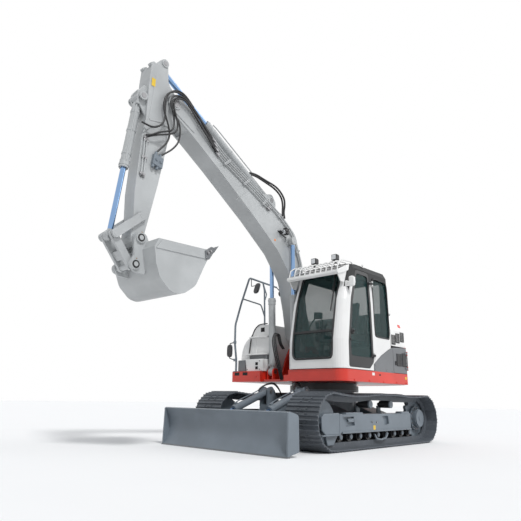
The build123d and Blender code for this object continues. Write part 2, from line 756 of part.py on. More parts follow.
def hood():
    """Domed engine hood, open below."""
    def shell(inset, low, high):
        lower = tail_arc(TAIL_RADIUS - 10 - inset, HOOD_FRONT_X - inset, -1190 + inset, 1190 - inset, 6)
        upper = [(HOOD_FRONT_X - inset + (x - HOOD_FRONT_X + inset) * 0.9, y * 0.93) for x, y in lower]
        bottom = outline(lower, lambda p, q: Vector(p, q, low))
        middle = outline(lower, lambda p, q: Vector(p, q, high - 300))
        top = outline(upper, lambda p, q: Vector(p, q, high))
        return Solid.make_loft([bottom, middle, top], True)
    body = joined(shell(0, HOOD_BOTTOM, HOOD_TOP)) - shell(PANEL_THICKNESS, HOOD_BOTTOM - 1, HOOD_TOP - 45)
    x, z = HOOD_HINGE
    for y in HOOD_HINGE_YS:
        low, high = y - KNUCKLE_HALF, y + KNUCKLE_HALF
        body += block(HOOD_FRONT_X - 10, x, low, high, z - 9, z + 5)
        body += disc(HOOD_HINGE, HOOD_HINGE_PIN + 4, low, high)
        body -= disc(HOOD_HINGE, HOOD_HINGE_PIN + HINGE_PLAY, low - 1, high + 1)
    return body


def right_house():
    """Tank covers on the right, in tiers down to the front step."""
    house = slab_y([
        (-370, DECK_TOP + RUN_CLEARANCE), (1120, DECK_TOP + RUN_CLEARANCE), (1120, 1400, 30),
        (1010, 1400), (1010, 1530, 30), (960, 1530), (950, HOUSE_TOP, 60), (-370, HOUSE_TOP),
    ], -HOUSE_HALF, BOOM_BAY_RIGHT - 20)
    return joined(house)


def handrail():
    y = -1150
    route = [(1150, y, DECK_TOP + 0.3), (1165, y, 1900), (838, y, 3014), (445, y, 2983), (445, y, HOUSE_TOP + 0.3)]
    path = FilletPolyline(*route, radius=110)
    profile = Plane(origin=route[0], z_dir=(15, 0, 709)) * Circle(19)
    return sweep(profile, path)


# Cab

def round_corner(x, y, radius, from_angle, steps):
    """Points round a right-angled corner in plan, from an angle in degrees to 90 more."""
    middle = math.radians(from_angle + 45)
    centre_x = x - math.copysign(radius, math.cos(middle))
    centre_y = y - math.copysign(radius, math.sin(middle))
    points = []
    for step in range(steps + 1):
        angle = math.radians(from_angle + 90 * step / steps)
        points.append((centre_x + radius * math.cos(angle), centre_y + radius * math.sin(angle)))
    return points


def cab_section(z, front, left, inset=0):
    """Plan of the cab at one height, its round corners in short flats so that the loft stays plane."""
    # x, y, radius, direction it starts from and number of flats
    corners = (
        (front - inset, left - inset, CORNER_RADIUS - inset * 1.78, 0, 6),
        (CAB_REAR + inset, left - inset, 60 - inset * 0.6, 90, 3),
        (CAB_REAR + inset, CAB_INNER + inset, 60 - inset * 0.6, 180, 3),
        (front - inset, CAB_INNER + inset, 70 - inset * 0.6, 270, 4),
    )
    points = []
    for corner in corners:
        points.extend(round_corner(*corner))
    return outline(points, lambda p, q: Vector(p, q, z))


# height, front and left side of the cab's plan there
CAB_SECTIONS = (
    (CAB_FLOOR, CAB_FRONT, CAB_OUTER),
    (1650, CAB_FRONT - 10, CAB_OUTER),
    (2300, CAB_FRONT - 130, CAB_OUTER - 12),
    (2862, CAB_FRONT - 348, CAB_OUTER - 38),
    (CAB_ROOF, CAB_FRONT - 470, CAB_OUTER - 90),
)


def cab_hull(inset=0):
    sections = []
    for z, front, left in CAB_SECTIONS:
        height = z
        if inset and z == CAB_FLOOR:
            height = CAB_FLOOR + 50
        if inset and z == CAB_ROOF:
            height = CAB_ROOF - 60
        sections.append(cab_section(height, front, left, inset))
    return Solid.make_loft(sections, True)


def door_outline(grow=0):
    return [
        (1035 + grow, 1225 - grow, 40), (1035 + grow, 1620), (915 + grow, 2330),
        (715 + grow, 2850 + grow, 60), (300 - grow, 2850 + grow, 60), (290 - grow, 1330 - grow, 40),
        (420, 1225 - grow, 40),
    ]


def underside(lift=0):
    """Space under the cab's rear, where the grey panel's arch rises."""
    front = 300 + lift
    low = CAB_FLOOR - 10
    return slab_y([
        (front, low), (-400, low), (-400, 1640 + lift), (-350, 1632 + lift), (-180, 1567 + lift),
        (60, 1457 + lift), (front, 1304 + lift * 0.4),
    ], CAB_INNER - 10, CAB_OUTER + 10)


def windscreen_space():
    return slab_x([
        (CAB_INNER + 105, 1350, 90), (CAB_OUTER - 175, 1350, 90),
        (CAB_OUTER - 185, 2790, 40), (CAB_INNER + 105, 2790, 40),
    ], 700, CAB_FRONT + 20)


def rear_window_space():
    return slab_x([
        (CAB_INNER + 120, 1900, 50), (CAB_OUTER - 170, 1900, 50),
        (CAB_OUTER - 170, 2780, 50), (CAB_INNER + 120, 2780, 50),
    ], CAB_REAR - 20, CAB_REAR + 80)


def left_window_space():
    return slab_y([(-290, 1760, 50), (220, 1760, 50), (220, 2780, 50), (-290, 2780, 50)],
                  CAB_OUTER - 120, CAB_OUTER + 60)


def right_window_space():
    return slab_y([(-200, 1500, 50), (1000, 1500, 50), (850, 2400), (700, 2750, 50), (-200, 2750, 50)],
                  CAB_INNER - 20, CAB_INNER + 80)


def door_window_space():
    return slab_y([
        (960, 1400, 60), (960, 1700), (860, 2280), (690, 2780, 50), (350, 2780, 50), (345, 1400, 60),
    ], CAB_OUTER - 120, CAB_OUTER + 60)


def cab_frame():
    """White shell of the cab with its raised rear floor, window and door openings."""
    room = joined(cab_hull(CAB_WALL)) - underside(CAB_WALL)
    cab = joined(cab_hull()) - underside() - room
    cab -= slab_y(door_outline(), CAB_OUTER - 120, CAB_OUTER + 60)
    for space in (windscreen_space(), rear_window_space(), left_window_space(), right_window_space()):
        cab -= space
    x, y = DOOR_HINGE
    for z in DOOR_HINGE_HEIGHTS:
        reach = KNUCKLE_HALF + HINGE_SPACE + 20
        cab += upright(x, y, DOOR_HINGE_PIN, z - reach, z + reach)
        for low in (z - reach, z + reach - 20):
            cab += slab_z([(x - 2, 1180), (x - 60, 1180), (x - 60, y - 15), (x, y + 15)], low, low + 20)
            cab += upright(x, y, DOOR_HINGE_PIN + 7, low, low + 20)
    # four holes for a beacon's foot
    for x in (-1, 1):
        for y in (-1, 1):
            cab -= Solid.make_cylinder(ROOF_HOLE_RADIUS, 120, Plane((
                ROOF_HOLES_X + x * ROOF_SPACING_X / 2, ROOF_HOLES_Y + y * ROOF_SPACING_Y / 2, CAB_ROOF - 100,
            )))
    return cab


def glass_shell():
    """Thin shell in the cab's wall that the panes are cut from."""
    return joined(cab_hull(GLASS_INSET)) - cab_hull(GLASS_INSET + GLASS_THICKNESS)


def panes(*spaces):
    pieces = []
    for space in spaces:
        pieces.extend((glass_shell() & space).solids())
    return pieces


def cab_glass():
    return panes(windscreen_space(), rear_window_space(), left_window_space(), right_window_space())


def cab_door():
    """Door as thick as the cab's wall, with its window cut."""
    block_in_hull = joined(cab_hull()) & slab_y(door_outline(-DOOR_GAP), CAB_OUTER - 120, CAB_OUTER + 60)
    door = block_in_hull - cab_hull(DOOR_THICKNESS) - door_window_space()
    x, y = DOOR_HINGE
    for z in DOOR_HINGE_HEIGHTS:
        low, high = z - KNUCKLE_HALF, z + KNUCKLE_HALF
        door += slab_z([
            (x + 2, y - 12), (x + 22, y - 28), (x + 22, 1183), (x + 48, 1183), (x + 48, y - 22), (x + 10, y + 14),
        ], low, high)
        door += upright(x, y, DOOR_HINGE_PIN + 7, low, high)
        door -= upright(x, y, DOOR_HINGE_PIN + HINGE_PLAY, low - 1, high + 1)
    return door


def cab_seat():
    cushion = slab_y([(250, 1620, 30), (760, 1640, 50), (760, 1760, 50), (250, 1740, 30)], 480, 980)
    back = slab_y([(250, 1690, 30), (370, 1700, 30), (250, 2420, 50), (130, 2400, 50)], 500, 960)
    base = block(380, 680, 560, 900, CAB_FLOOR + 50.3, 1660)
    return joined(cushion, back, base)


def cab_mounts():
    """Rubber mounts that carry the cab above the deck."""
    places = ((CAB_FRONT - 160, 290), (CAB_FRONT - 160, 1060), (60, 290), (60, 1060))
    return [upright(x, y, CAB_MOUNT_RADIUS, DECK_TOP, CAB_FLOOR - RUN_CLEARANCE) for x, y in places]


def build_upper():
    nodes = {
        "upper_frame": joined(upper_frame(), *engine_mounts(), *cab_mounts()),
        "counterweight": counterweight(),
        "engine_block": engine_block(),
        "left_panel": left_panel(),
        "service_door_left": service_door(),
        "service_door_right": mirrored(service_door()),
        "bulkhead": bulkhead(),
        "hood": hood(),
        "right_house": right_house(),
        "handrail": handrail(),
        "cab_frame": cab_frame(),
        "cab_glass": cab_glass(),
        "cab_door": cab_door(),
        "door_glass": panes(door_window_space()),
        "cab_seat": cab_seat(),
    }
    return nodes


# Boom

def boom():
    """Cranked box boom with its foot boss, cylinder pin, top ears and tip fork."""
    half = BOOM_HALF
    side = BOOM.corners([
        (-78, -70, 60), (337, -9), (765, 263), (1249, 522, 300), (1842, 550, 300), (2596, 415),
        (3694, 160), (4363, -16), (4365, 329), (4090, 421), (3685, 509), (2845, 876),
        (2272, 1101, 250), (1830, 1184, 250), (1294, 969, 200), (566, 454), (-96, 160, 60),
    ])
    box = slab_y(side, -half, half)
    fork = BOOM.corners([
        (4263, 12), (BOOM.length - 21, -150, 110), (BOOM.length + 160, 18, 110),
        (BOOM.length + 61, 169, 90), (4266, 355),
    ])
    solids = [box, disc(BOOM_FOOT, 130, -half, half)]
    for edge in (-1, 1):
        low, high = sorted((edge * (half - 26), edge * half))
        solids.append(slab_y(fork, low, high))
        ear = edge * (68 + EAR_GAP + 14)
        solids.append(slab_y(BOOM.corners([
            (2351, 1000), (2522, 1174, 60), (2692, 1192, 60), (2870, 856),
        ]), ear - 14, ear + 14))
    body = joined(*solids)
    body += disc(BOOM.at(*BOOM_EYE), 62, -half - 30, half + 30)
    body -= disc(BOOM_FOOT, 50.1, -half - 10, half + 10)
    body -= disc(BOOM.at(*ARM_CYLINDER_FOOT), 40.1, -120, 120)
    body -= disc(ARM_PIVOT, 330, -half + 26.2, half - 26.2)
    body -= disc(ARM_PIVOT, 50.1, -half - 10, half + 10)
    return moved_y(body, BOOM_CENTRE)


def arm():
    """Tapered box arm with its head ears, cylinder ear and nose boss."""
    half = ARM_HALF
    side = ARM.corners([
        (-300, 90), (-330, 300), (-386, 553), (-300, 600, 40), (-181, 638, 40), (20, 560), (130, 432),
        (759, 350), (1670, 222), (2060, 125), (2300, 95, 90), (2400, 0, 90), (2300, -95, 90),
        (1388, -100), (625, -75), (120, -140, 60),
    ])
    solids = [slab_y(side, -half, half), disc(ARM_PIVOT, 145, -half, half)]
    for edge in (-1, 1):
        low, high = sorted((edge * (half - 28), edge * half))
        solids.append(slab_y(ARM.corners([
            (-155, 150), (-526, 262, 70), (-640, 330, 70), (-540, 425, 60), (-386, 545), (-250, 500),
        ]), low, high))
        ear = edge * (62 + EAR_GAP + 14)
        solids.append(slab_y(ARM.corners([
            (0, 540), (150, 595, 50), (280, 585, 50), (480, 380),
        ]), ear - 14, ear + 14))
    solids.append(disc(BUCKET_PIN, 74, -EAR_INSIDE + EAR_GAP, EAR_INSIDE - EAR_GAP))
    body = joined(*solids)
    body -= disc(ARM_PIVOT, 50.1, -half - 1, half + 1)
    body -= disc(ARM.at(*BUCKET_CYLINDER_FOOT), 36.1, -120, 120)
    body -= disc(ARM.at(*IDLER_PIN), 36.1, -half - 1, half + 1)
    body -= disc(BUCKET_PIN, 45.1, -EAR_INSIDE, EAR_INSIDE)
    return moved_y(body, BOOM_CENTRE)


def pins():
    """Pins of the boom, arm and bucket, grouped by the body that holds them."""
    y = BOOM_CENTRE
    foot_pins = [disc(BOOM_FOOT, 50, y - 214, y + 214)]
    for side in (-1, 1):
        middle = y + side * BOOM_CYLINDER_Y
        foot_pins.append(disc(BOOM_CYLINDER_FOOT, 42, middle - 68, middle + 68))
    return {
        "upper_pins": foot_pins,
        "boom_pins": [
            disc(ARM_PIVOT, 50, y - 178, y + 178),
            disc(BOOM.at(*ARM_CYLINDER_FOOT), 40, y - 108, y + 108),
        ],
        "arm_pins": [
            disc(BUCKET_PIN, 45, y - 235, y + 235),
            disc(ARM.at(*BUCKET_CYLINDER_FOOT), 36, y - 102, y + 102),
        ],
    }


def idler_links():
    pin, end = ARM.at(*IDLER_PIN), ARM.at(*LINK_PIN)
    frame = SideFrame(pin, end)
    links = []
    for edge in (-1, 1):
        y = BOOM_CENTRE + edge * (ARM_HALF + SIDE_GAP + 16)
        bar_shape = slab_y(frame.corners([
            (-50, -58, 50), (frame.length + 50, -58, 50), (frame.length + 50, 58, 50), (-50, 58, 50),
        ]), y - 16, y + 16)
        links.append(bar_shape)
    shaft_in = disc(pin, 36, BOOM_CENTRE - ARM_HALF - 40, BOOM_CENTRE + ARM_HALF + 40)
    stubs = []
    for edge in (-1, 1):
        low, high = sorted((edge * (50 + EAR_GAP), edge * (ARM_HALF + 40)))
        stubs.append(disc(end, 36, BOOM_CENTRE + low, BOOM_CENTRE + high))
    return joined(*links, shaft_in, *stubs)


def push_link():
    pin, end = ARM.at(*LINK_PIN), ARM.at(*PUSH_PIN)
    frame = SideFrame(pin, end)
    y = BOOM_CENTRE
    solids = []
    for edge in (-1, 1):
        middle = y + edge * 104
        solids.append(slab_y(frame.corners([
            (-56, -55, 48), (frame.length + 60, -55, 48), (frame.length + 60, 55, 48), (-56, 55, 48),
        ]), middle - 22, middle + 22))
    solids.append(slab_y(frame.corners([(230, -30), (360, -30), (360, 30), (230, 30)]), y - 100, y + 100))
    solids.append(disc(end, 46, y - EAR_INSIDE + EAR_GAP, y + EAR_INSIDE - EAR_GAP))
    return joined(*solids) - disc(pin, 36.1, y - 200, y + 200)


def bucket():
    """Bucket shell with side plates, ears and a lip."""
    def at(points):
        return [(BUCKET_PIN[0] + p[0], BUCKET_PIN[1] + p[1]) + tuple(p[2:]) for p in points]
    outer = [
        (-110, -27), (-50, -150), (-95, -375), (-167, -546, 200), (-341, -696, 200), (-468, -722, 200),
        (-587, -691, 200), (-769, -560, 200), (-926, -222), (-1010, -60), (-1030, 30), (-950, 5),
    ]
    solid = slab_y(at(outer), -BUCKET_HALF, BUCKET_HALF)
    hollow = [
        (-300, 400), (-150, -60), (-90, -170), (-130, -365), (-200, -520, 180), (-350, -655, 180),
        (-465, -680, 180), (-570, -650, 180), (-735, -530, 180), (-880, -215), (-960, -60), (-1060, 100),
    ]
    solid = joined(solid) - slab_y(at(hollow), -BUCKET_HALF + 26, BUCKET_HALF - 26)
    for edge in (-1, 1):
        ear = edge * (EAR_INSIDE + EAR_THICKNESS / 2)
        solid += slab_y(at([
            (-190, -120), (-90, 70, 60), (60, 90, 80), (90, -60), (70, -250), (130, -370, 60),
            (60, -470, 60), (-110, -480), (-130, -400),
        ]), ear - EAR_THICKNESS / 2, ear + EAR_THICKNESS / 2)
    solid -= disc(BUCKET_PIN, 45.1, -300, 300)
    return moved_y(solid, BOOM_CENTRE)


def bucket_teeth():
    teeth = []
    for index in range(5):
        y = BOOM_CENTRE - 420 + 210 * index
        teeth.append(slab_y([
            (BUCKET_PIN[0] + p, BUCKET_PIN[1] + q) for p, q in
            ((-1013.7, -45), (-1027.7, 18), (-1185, 116), (-1100, -5))
        ], y - 45, y + 45))
    return teeth


def build_front():
    nodes = {"boom": boom(), "arm": arm(), "idler_links": idler_links(), "push_link": push_link(),
             "bucket": bucket(), "bucket_teeth": bucket_teeth()}
    nodes.update(pins())
    barrels, rods = [], []
    eye = BOOM.at(*BOOM_EYE)
    for side in (-1, 1):
        y = BOOM_CENTRE + side * BOOM_CYLINDER_Y
        barrels.append(barrel_solid(BOOM_CYLINDER_FOOT, eye, y, 1305, 62, 50, 38, 90, 72, 42.1))
        rods.append(rod_solid(BOOM_CYLINDER_FOOT, eye, y, 1318, 38, 50, 90, 70))
    nodes["boom_barrels"] = barrels
    nodes["boom_rods"] = rods
    foot, eye = BOOM.at(*ARM_CYLINDER_FOOT), ARM.at(*ARM_EYE)
    nodes["arm_barrel"] = barrel_solid(foot, eye, BOOM_CENTRE, 1800, 68, 55, 42, 136, 70, 40.1)
    nodes["arm_rod"] = rod_solid(foot, eye, BOOM_CENTRE, 1450, 42, 55, 110, 75)
    foot, eye = ARM.at(*BUCKET_CYLINDER_FOOT), ARM.at(*LINK_PIN)
    nodes["bucket_barrel"] = barrel_solid(foot, eye, BOOM_CENTRE, 1150, 62, 50, 38, 124, 68, 36.1)
    nodes["bucket_rod"] = rod_solid(foot, eye, BOOM_CENTRE, 1293, 38, 50, 100, 68)
    return nodes


def main():
    os.makedirs("parts", exist_ok=True)
    nodes = build_undercarriage()
    nodes.update(build_upper())
    nodes.update(build_front())
    for name, shape in nodes.items():
        solids = shape if isinstance(shape, list) else [shape]
        pieces = []
        for item in solids:
            pieces.extend(item.solids())
        export_step(Compound(children=pieces), "parts/" + name + ".step")
        print(name, len(pieces))


main()
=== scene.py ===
"""Finishes, fittings, studio light and camera for a crawler excavator with a dozer blade.

Lengths are in metres, with +X forward, +Y to the machine's left and +Z up. Points that are plain numbers
are written in millimetres, as profile(...) for outlines and course(...) for lines in space.
"""
import json
import logging
import math
from dataclasses import dataclass
from enum import Enum
from typing import Callable, Iterable, Optional, Sequence

import bpy
from mathutils import Matrix, Vector

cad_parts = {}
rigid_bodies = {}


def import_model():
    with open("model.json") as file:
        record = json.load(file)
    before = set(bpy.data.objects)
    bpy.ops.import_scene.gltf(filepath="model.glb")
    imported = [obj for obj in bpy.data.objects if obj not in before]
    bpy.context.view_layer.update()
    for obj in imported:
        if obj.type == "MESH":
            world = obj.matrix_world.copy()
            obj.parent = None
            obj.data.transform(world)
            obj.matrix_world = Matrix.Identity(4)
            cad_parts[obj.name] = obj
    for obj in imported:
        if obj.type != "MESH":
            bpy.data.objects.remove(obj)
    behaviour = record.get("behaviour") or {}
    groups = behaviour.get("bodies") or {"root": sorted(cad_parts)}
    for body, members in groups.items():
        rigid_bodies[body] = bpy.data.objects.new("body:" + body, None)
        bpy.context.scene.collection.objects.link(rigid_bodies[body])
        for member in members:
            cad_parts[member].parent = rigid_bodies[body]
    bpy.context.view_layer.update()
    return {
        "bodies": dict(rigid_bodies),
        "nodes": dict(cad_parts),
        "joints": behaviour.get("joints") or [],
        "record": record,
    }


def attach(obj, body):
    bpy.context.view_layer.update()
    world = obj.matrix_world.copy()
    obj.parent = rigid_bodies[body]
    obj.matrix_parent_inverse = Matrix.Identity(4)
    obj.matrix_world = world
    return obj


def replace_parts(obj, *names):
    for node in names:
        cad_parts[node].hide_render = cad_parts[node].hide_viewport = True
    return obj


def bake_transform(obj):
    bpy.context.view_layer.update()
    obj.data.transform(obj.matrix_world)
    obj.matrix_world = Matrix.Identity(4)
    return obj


LOG = logging.getLogger("excavator")
Spot = tuple[float, float]
Point = tuple[float, float, float]
Colour = tuple[float, float, float]
Mesh = bpy.types.Object


class Slot(Enum):
    """Material slots of the record that finishes are made for."""

    WHITE = "white_paint"
    PALE = "pale_grey_paint"
    RED = "red_paint"
    SLATE = "slate_paint"
    SIDE_GREY = "side_grey_paint"
    BLACK = "black_paint"
    PLASTIC = "black_plastic"
    CHROME = "rod_chrome"
    TRACK = "track_steel"
    PIN = "pin_steel"
    ENGINE = "engine_iron"
    GLASS = "clear_glass"
    CLOTH = "seat_cloth"
    WORN = "worn_steel"


# Shader expressions

def operation(name: str, turned: bool = False) -> Callable[..., "Value"]:
    """Method of a value that adds one Math node.

    Args:
        name: the node's operation.
        turned: whether the value comes after the other number.

    Returns:
        The method.
    """
    def method(self: "Value", *others: object) -> "Value":
        """Add the node and return its result."""
        values = (*others, self) if turned else (self, *others)
        return self.shader.node("ShaderNodeMath", {"operation": name}, dict(enumerate(values)))
    return method


class Value:
    """A number on a surface that can be added, multiplied and compared like a plain number."""

    __add__ = __radd__ = operation("ADD")
    __mul__ = __rmul__ = operation("MULTIPLY")
    __sub__ = operation("SUBTRACT")
    __rsub__ = operation("SUBTRACT", True)
    __abs__ = operation("ABSOLUTE")
    above = operation("GREATER_THAN")
    below = operation("LESS_THAN")
    most = operation("MAXIMUM")
    wave = operation("SINE")

    def __init__(self, shader: "Shader", socket: bpy.types.NodeSocket) -> None:
        """Keep the shader and the output socket that carries the number."""
        self.shader = shader
        self.socket = socket

    def ramp(self, low: float, high: float) -> "Value":
        """Smooth rise from 0 to 1 between two levels."""
        inputs = {"Value": self, "From Min": low, "From Max": high}
        return self.shader.node("ShaderNodeMapRange", {"interpolation_type": "SMOOTHSTEP"}, inputs)


class Shader:
    """The nodes of one material or world."""

    def __init__(self, owner: bpy.types.ID) -> None:
        """Empty the node tree of a new material or world.

        Args:
            owner: the material or world.
        """
        owner.use_nodes = True
        self.owner = owner
        self.tree = owner.node_tree
        self.tree.nodes.clear()

    def node(self, kind: str, settings: dict, inputs: dict, output: object = 0) -> Optional[Value]:
        """Add a node.

        Args:
            kind: the node's type.
            settings: properties that are set first.
            inputs: values or links of its sockets, by name or number.
            output: the name or number of the socket to return.

        Returns:
            The chosen output, where the node has one.
        """
        added = self.tree.nodes.new(kind)
        for key, value in settings.items():
            setattr(added, key, value)
        for key, value in inputs.items():
            if isinstance(value, Value):
                self.tree.links.new(value.socket, added.inputs[key])
            else:
                added.inputs[key].default_value = value
        return Value(self, added.outputs[output]) if added.outputs else None

    def place(self) -> Value:
        """The object's own coordinates in metres."""
        return self.node("ShaderNodeTexCoord", {}, {}, "Object")

    def axis(self, name: str) -> Value:
        """One of the object's coordinates, X, Y or Z, in metres."""
        return self.node("ShaderNodeSeparateXYZ", {}, {0: self.place()}, name)

    def facing(self, name: str) -> Value:
        """One component of the true surface normal."""
        normal = self.node("ShaderNodeNewGeometry", {}, {}, "True Normal")
        return self.node("ShaderNodeSeparateXYZ", {}, {0: normal}, name)

    def noise(self, scale: float, detail: float = 3.0, rough: float = 0.5,
              stretch: Point = (1, 1, 1)) -> Value:
        """Soft irregular pattern from 0 to 1.

        Args:
            scale: how many lumps fill a metre.
            detail: octaves of finer lumps.
            rough: weight of the finer lumps.
            stretch: scale along each axis.

        Returns:
            The pattern.
        """
        place = self.node("ShaderNodeMapping", {}, {"Vector": self.place(), "Scale": stretch})
        inputs = {"Vector": place, "Scale": scale, "Detail": detail, "Roughness": rough}
        return self.node("ShaderNodeTexNoise", {}, inputs)

    def cells(self, scale: float, stretch: Point = (1, 1, 1)) -> Value:
        """Distance to the nearest cell's middle."""
        place = self.node("ShaderNodeMapping", {}, {"Vector": self.place(), "Scale": stretch})
        return self.node("ShaderNodeTexVoronoi", {}, {"Vector": place, "Scale": scale})

    def mix(self, share: object, first: object, second: object) -> Value:
        """Colour between two colours.

        Args:
            share: 0 for the first colour and 1 for the second.
            first: a colour or the output of a node.
            second: a colour or the output of a node.

        Returns:
            The mixed colour.
        """
        inputs = {0: share}
        for key, value in ((6, first), (7, second)):
            inputs[key] = value if isinstance(value, Value) else (*value, 1.0)
        return self.node("ShaderNodeMix", {"data_type": "RGBA"}, inputs, 2)

    def bump(self, height: Value, strength: float, distance: float) -> Value:
        """Surface normal tilted by a height pattern.

        Args:
            height: the pattern.
            strength: how strongly it shows.
            distance: height of a full step in metres.

        Returns:
            The normal.
        """
        return self.node("ShaderNodeBump", {}, {"Strength": strength, "Distance": distance, "Height": height})

    def finish(self, **inputs: object) -> bpy.types.Material:
        """Close the material with a Principled surface.

        Args:
            inputs: the surface's sockets with spaces written as underscores.

        Returns:
            The material.
        """
        sockets = {}
        for key, value in inputs.items():
            if key in ("Base_Color", "Emission_Color") and not isinstance(value, Value):
                value = (*value, 1.0)
            sockets[key.replace("_", " ")] = value
        surface = self.node("ShaderNodeBsdfPrincipled", {}, sockets)
        self.node("ShaderNodeOutputMaterial", {}, {0: surface})
        return self.owner


# Finishes

@dataclass(frozen=True)
class Finish:
    """What every finish has.

    Attributes:
        name: the material's name.
        colour: its main colour.
    """

    name: str
    colour: Colour

    def tone(self, share: float, lift: float = 0.0) -> Colour:
        """The main colour made darker or paler."""
        return tuple(min(1.0, part * share + lift) for part in self.colour)

    def material(self) -> bpy.types.Material:
        """Build the material."""
        return self.surface(Shader(bpy.data.materials.new(self.name)))


@dataclass(frozen=True)
class Paint(Finish):
    """Sprayed paint on sheet or cast steel.

    Attributes:
        roughness: mean roughness.
        coat: share of clear coat.
        grain: height of the surface's unevenness in metres.
        dust: share of pale dust that lies on level faces.
    """

    roughness: float = 0.34
    coat: float = 0.35
    grain: float = 0.0003
    dust: float = 0.12

    def surface(self, shader: Shader) -> bpy.types.Material:
        """Clouded paint with orange peel and dust on its level faces.

        Args:
            shader: the material's nodes.

        Returns:
            The material.
        """
        cloud = shader.noise(1.4, 4.0, 0.55)
        speck = shader.noise(38.0, 2.0, 0.6)
        base = shader.mix(cloud.ramp(0.35, 0.68), self.tone(0.9), self.tone(1.05, 0.008))
        level = shader.facing("Z").ramp(0.55, 1.0) * shader.noise(5.0, 5.0, 0.65).ramp(0.42, 0.75)
        peel = shader.noise(170.0, 2.0, 0.5) + shader.noise(24.0, 2.0, 0.5) * 0.8
        return shader.finish(
            Base_Color=shader.mix(level * self.dust, base, (0.56, 0.53, 0.48)),
            Roughness=self.roughness + (cloud - 0.5) * 0.1 + speck * 0.05 + level * 0.16,
            Coat_Weight=self.coat,
            Coat_Roughness=0.1,
            Normal=shader.bump(peel, 0.3, self.grain),
        )


@dataclass(frozen=True)
class CastSteel(Finish):
    """Rough cast or forged steel under thin paint, scuffed where it meets soil.

    Attributes:
        bare: the colour of bare steel.
        scuff: share of the surface that is scuffed.
    """

    bare: Colour = (0.4, 0.41, 0.42)
    scuff: float = 0.3

    def surface(self, shader: Shader) -> bpy.types.Material:
        """Grit and lumps with scuffed spots.

        Args:
            shader: the material's nodes.

        Returns:
            The material.
        """
        cloud = shader.noise(3.0, 5.0, 0.6)
        grit = shader.noise(120.0, 3.0, 0.65)
        lumps = shader.noise(26.0, 4.0, 0.6)
        base = shader.mix(cloud.ramp(0.3, 0.7), self.tone(0.8), self.colour)
        worn = (lumps * 0.6 + grit * 0.4).ramp(0.56, 0.66) * self.scuff
        return shader.finish(
            Base_Color=shader.mix(worn, base, self.bare),
            Roughness=0.52 + (cloud - 0.5) * 0.16 - worn * 0.25,
            Metallic=worn * 0.8,
            Normal=shader.bump(grit * 0.5 + lumps, 0.45, 0.0009),
        )


@dataclass(frozen=True)
class BareSteel(Finish):
    """Machined or plated steel.

    Attributes:
        roughness: mean roughness.
        lines: turned or drawn lines to a metre along Z.
    """

    roughness: float = 0.2
    lines: float = 240.0

    def surface(self, shader: Shader) -> bpy.types.Material:
        """Bright metal with fine lines.

        Args:
            shader: the material's nodes.

        Returns:
            The material.
        """
        streak = shader.noise(1.0, 3.0, 0.6, (self.lines, self.lines, self.lines * 0.12))
        cloud = shader.noise(4.0, 3.0, 0.5)
        return shader.finish(
            Base_Color=shader.mix(cloud.ramp(0.3, 0.75), self.tone(0.86), self.colour),
            Metallic=1.0,
            Roughness=self.roughness + streak * 0.07 + (cloud - 0.5) * 0.05,
            Normal=shader.bump(streak, 0.12, 0.0001),
        )


@dataclass(frozen=True)
class Polymer(Finish):
    """Moulded plastic or rubber.

    Attributes:
        roughness: mean roughness.
        grain: height of the grain in metres.
    """

    roughness: float = 0.55
    grain: float = 0.0004

    def surface(self, shader: Shader) -> bpy.types.Material:
        """Fine moulded grain.

        Args:
            shader: the material's nodes.

        Returns:
            The material.
        """
        grain = shader.cells(320.0)
        cloud = shader.noise(6.0, 4.0, 0.6)
        return shader.finish(
            Base_Color=shader.mix(cloud.ramp(0.35, 0.8), self.colour, self.tone(1.5, 0.006)),
            Roughness=self.roughness + (cloud - 0.5) * 0.14 + grain * 0.04,
            Normal=shader.bump(grain, 0.35, self.grain),
        )


@dataclass(frozen=True)
class TintedGlass(Finish):
    """Flat safety glass with a faint tint.

    Attributes:
        clear: share of light that passes.
    """

    clear: float = 0.8

    def surface(self, shader: Shader) -> bpy.types.Material:
        """Clear pane with faint smears.

        Args:
            shader: the material's nodes.

        Returns:
            The material.
        """
        smear = shader.noise(2.2, 4.0, 0.6).ramp(0.45, 0.8)
        return shader.finish(
            Base_Color=shader.mix(smear, self.colour, self.tone(1.25)),
            Roughness=0.03 + smear * 0.03,
            Alpha=(1.0 - self.clear) + smear * 0.03,
            IOR=1.5,
        )


@dataclass(frozen=True)
class Woven(Finish):
    """Woven seat cloth.

    Attributes:
        thread: width of a thread and its gap in metres.
    """

    thread: float = 0.0022

    def surface(self, shader: Shader) -> bpy.types.Material:
        """Crossed threads with some fuzz.

        Args:
            shader: the material's nodes.

        Returns:
            The material.
        """
        pitch = 2 * math.pi / self.thread
        warp = (shader.axis("Y") * pitch).wave()
        weft = ((shader.axis("X") + shader.axis("Z")) * pitch).wave()
        weave = warp * weft * 0.5 + 0.5
        fuzz = shader.noise(60.0, 4.0, 0.7)
        return shader.finish(
            Base_Color=shader.mix(weave * 0.5 + fuzz * 0.5, self.colour, self.tone(2.2, 0.01)),
            Roughness=0.88 - fuzz * 0.1,
            Normal=shader.bump(weave + fuzz * 0.4, 0.5, 0.0006),
            Sheen_Weight=0.25,
        )


@dataclass(frozen=True)
class Lens(Finish):
    """Moulded lamp glass with fine ribs.

    Attributes:
        ribs: ribs to a metre.
    """

    ribs: float = 260.0

    def surface(self, shader: Shader) -> bpy.types.Material:
        """Ribs crossed both ways over a bright ground.

        Args:
            shader: the material's nodes.

        Returns:
            The material.
        """
        rib, cross = ((shader.axis(name) * (self.ribs * math.pi)).wave() for name in "YZ")
        relief = rib * cross
        return shader.finish(
            Base_Color=shader.mix(relief * 0.5 + 0.5, self.tone(0.8), self.colour),
            Metallic=0.35,
            Roughness=0.1 + abs(relief) * 0.06,
            Coat_Weight=0.8,
            Normal=shader.bump(relief, 0.4, 0.0012),
        )


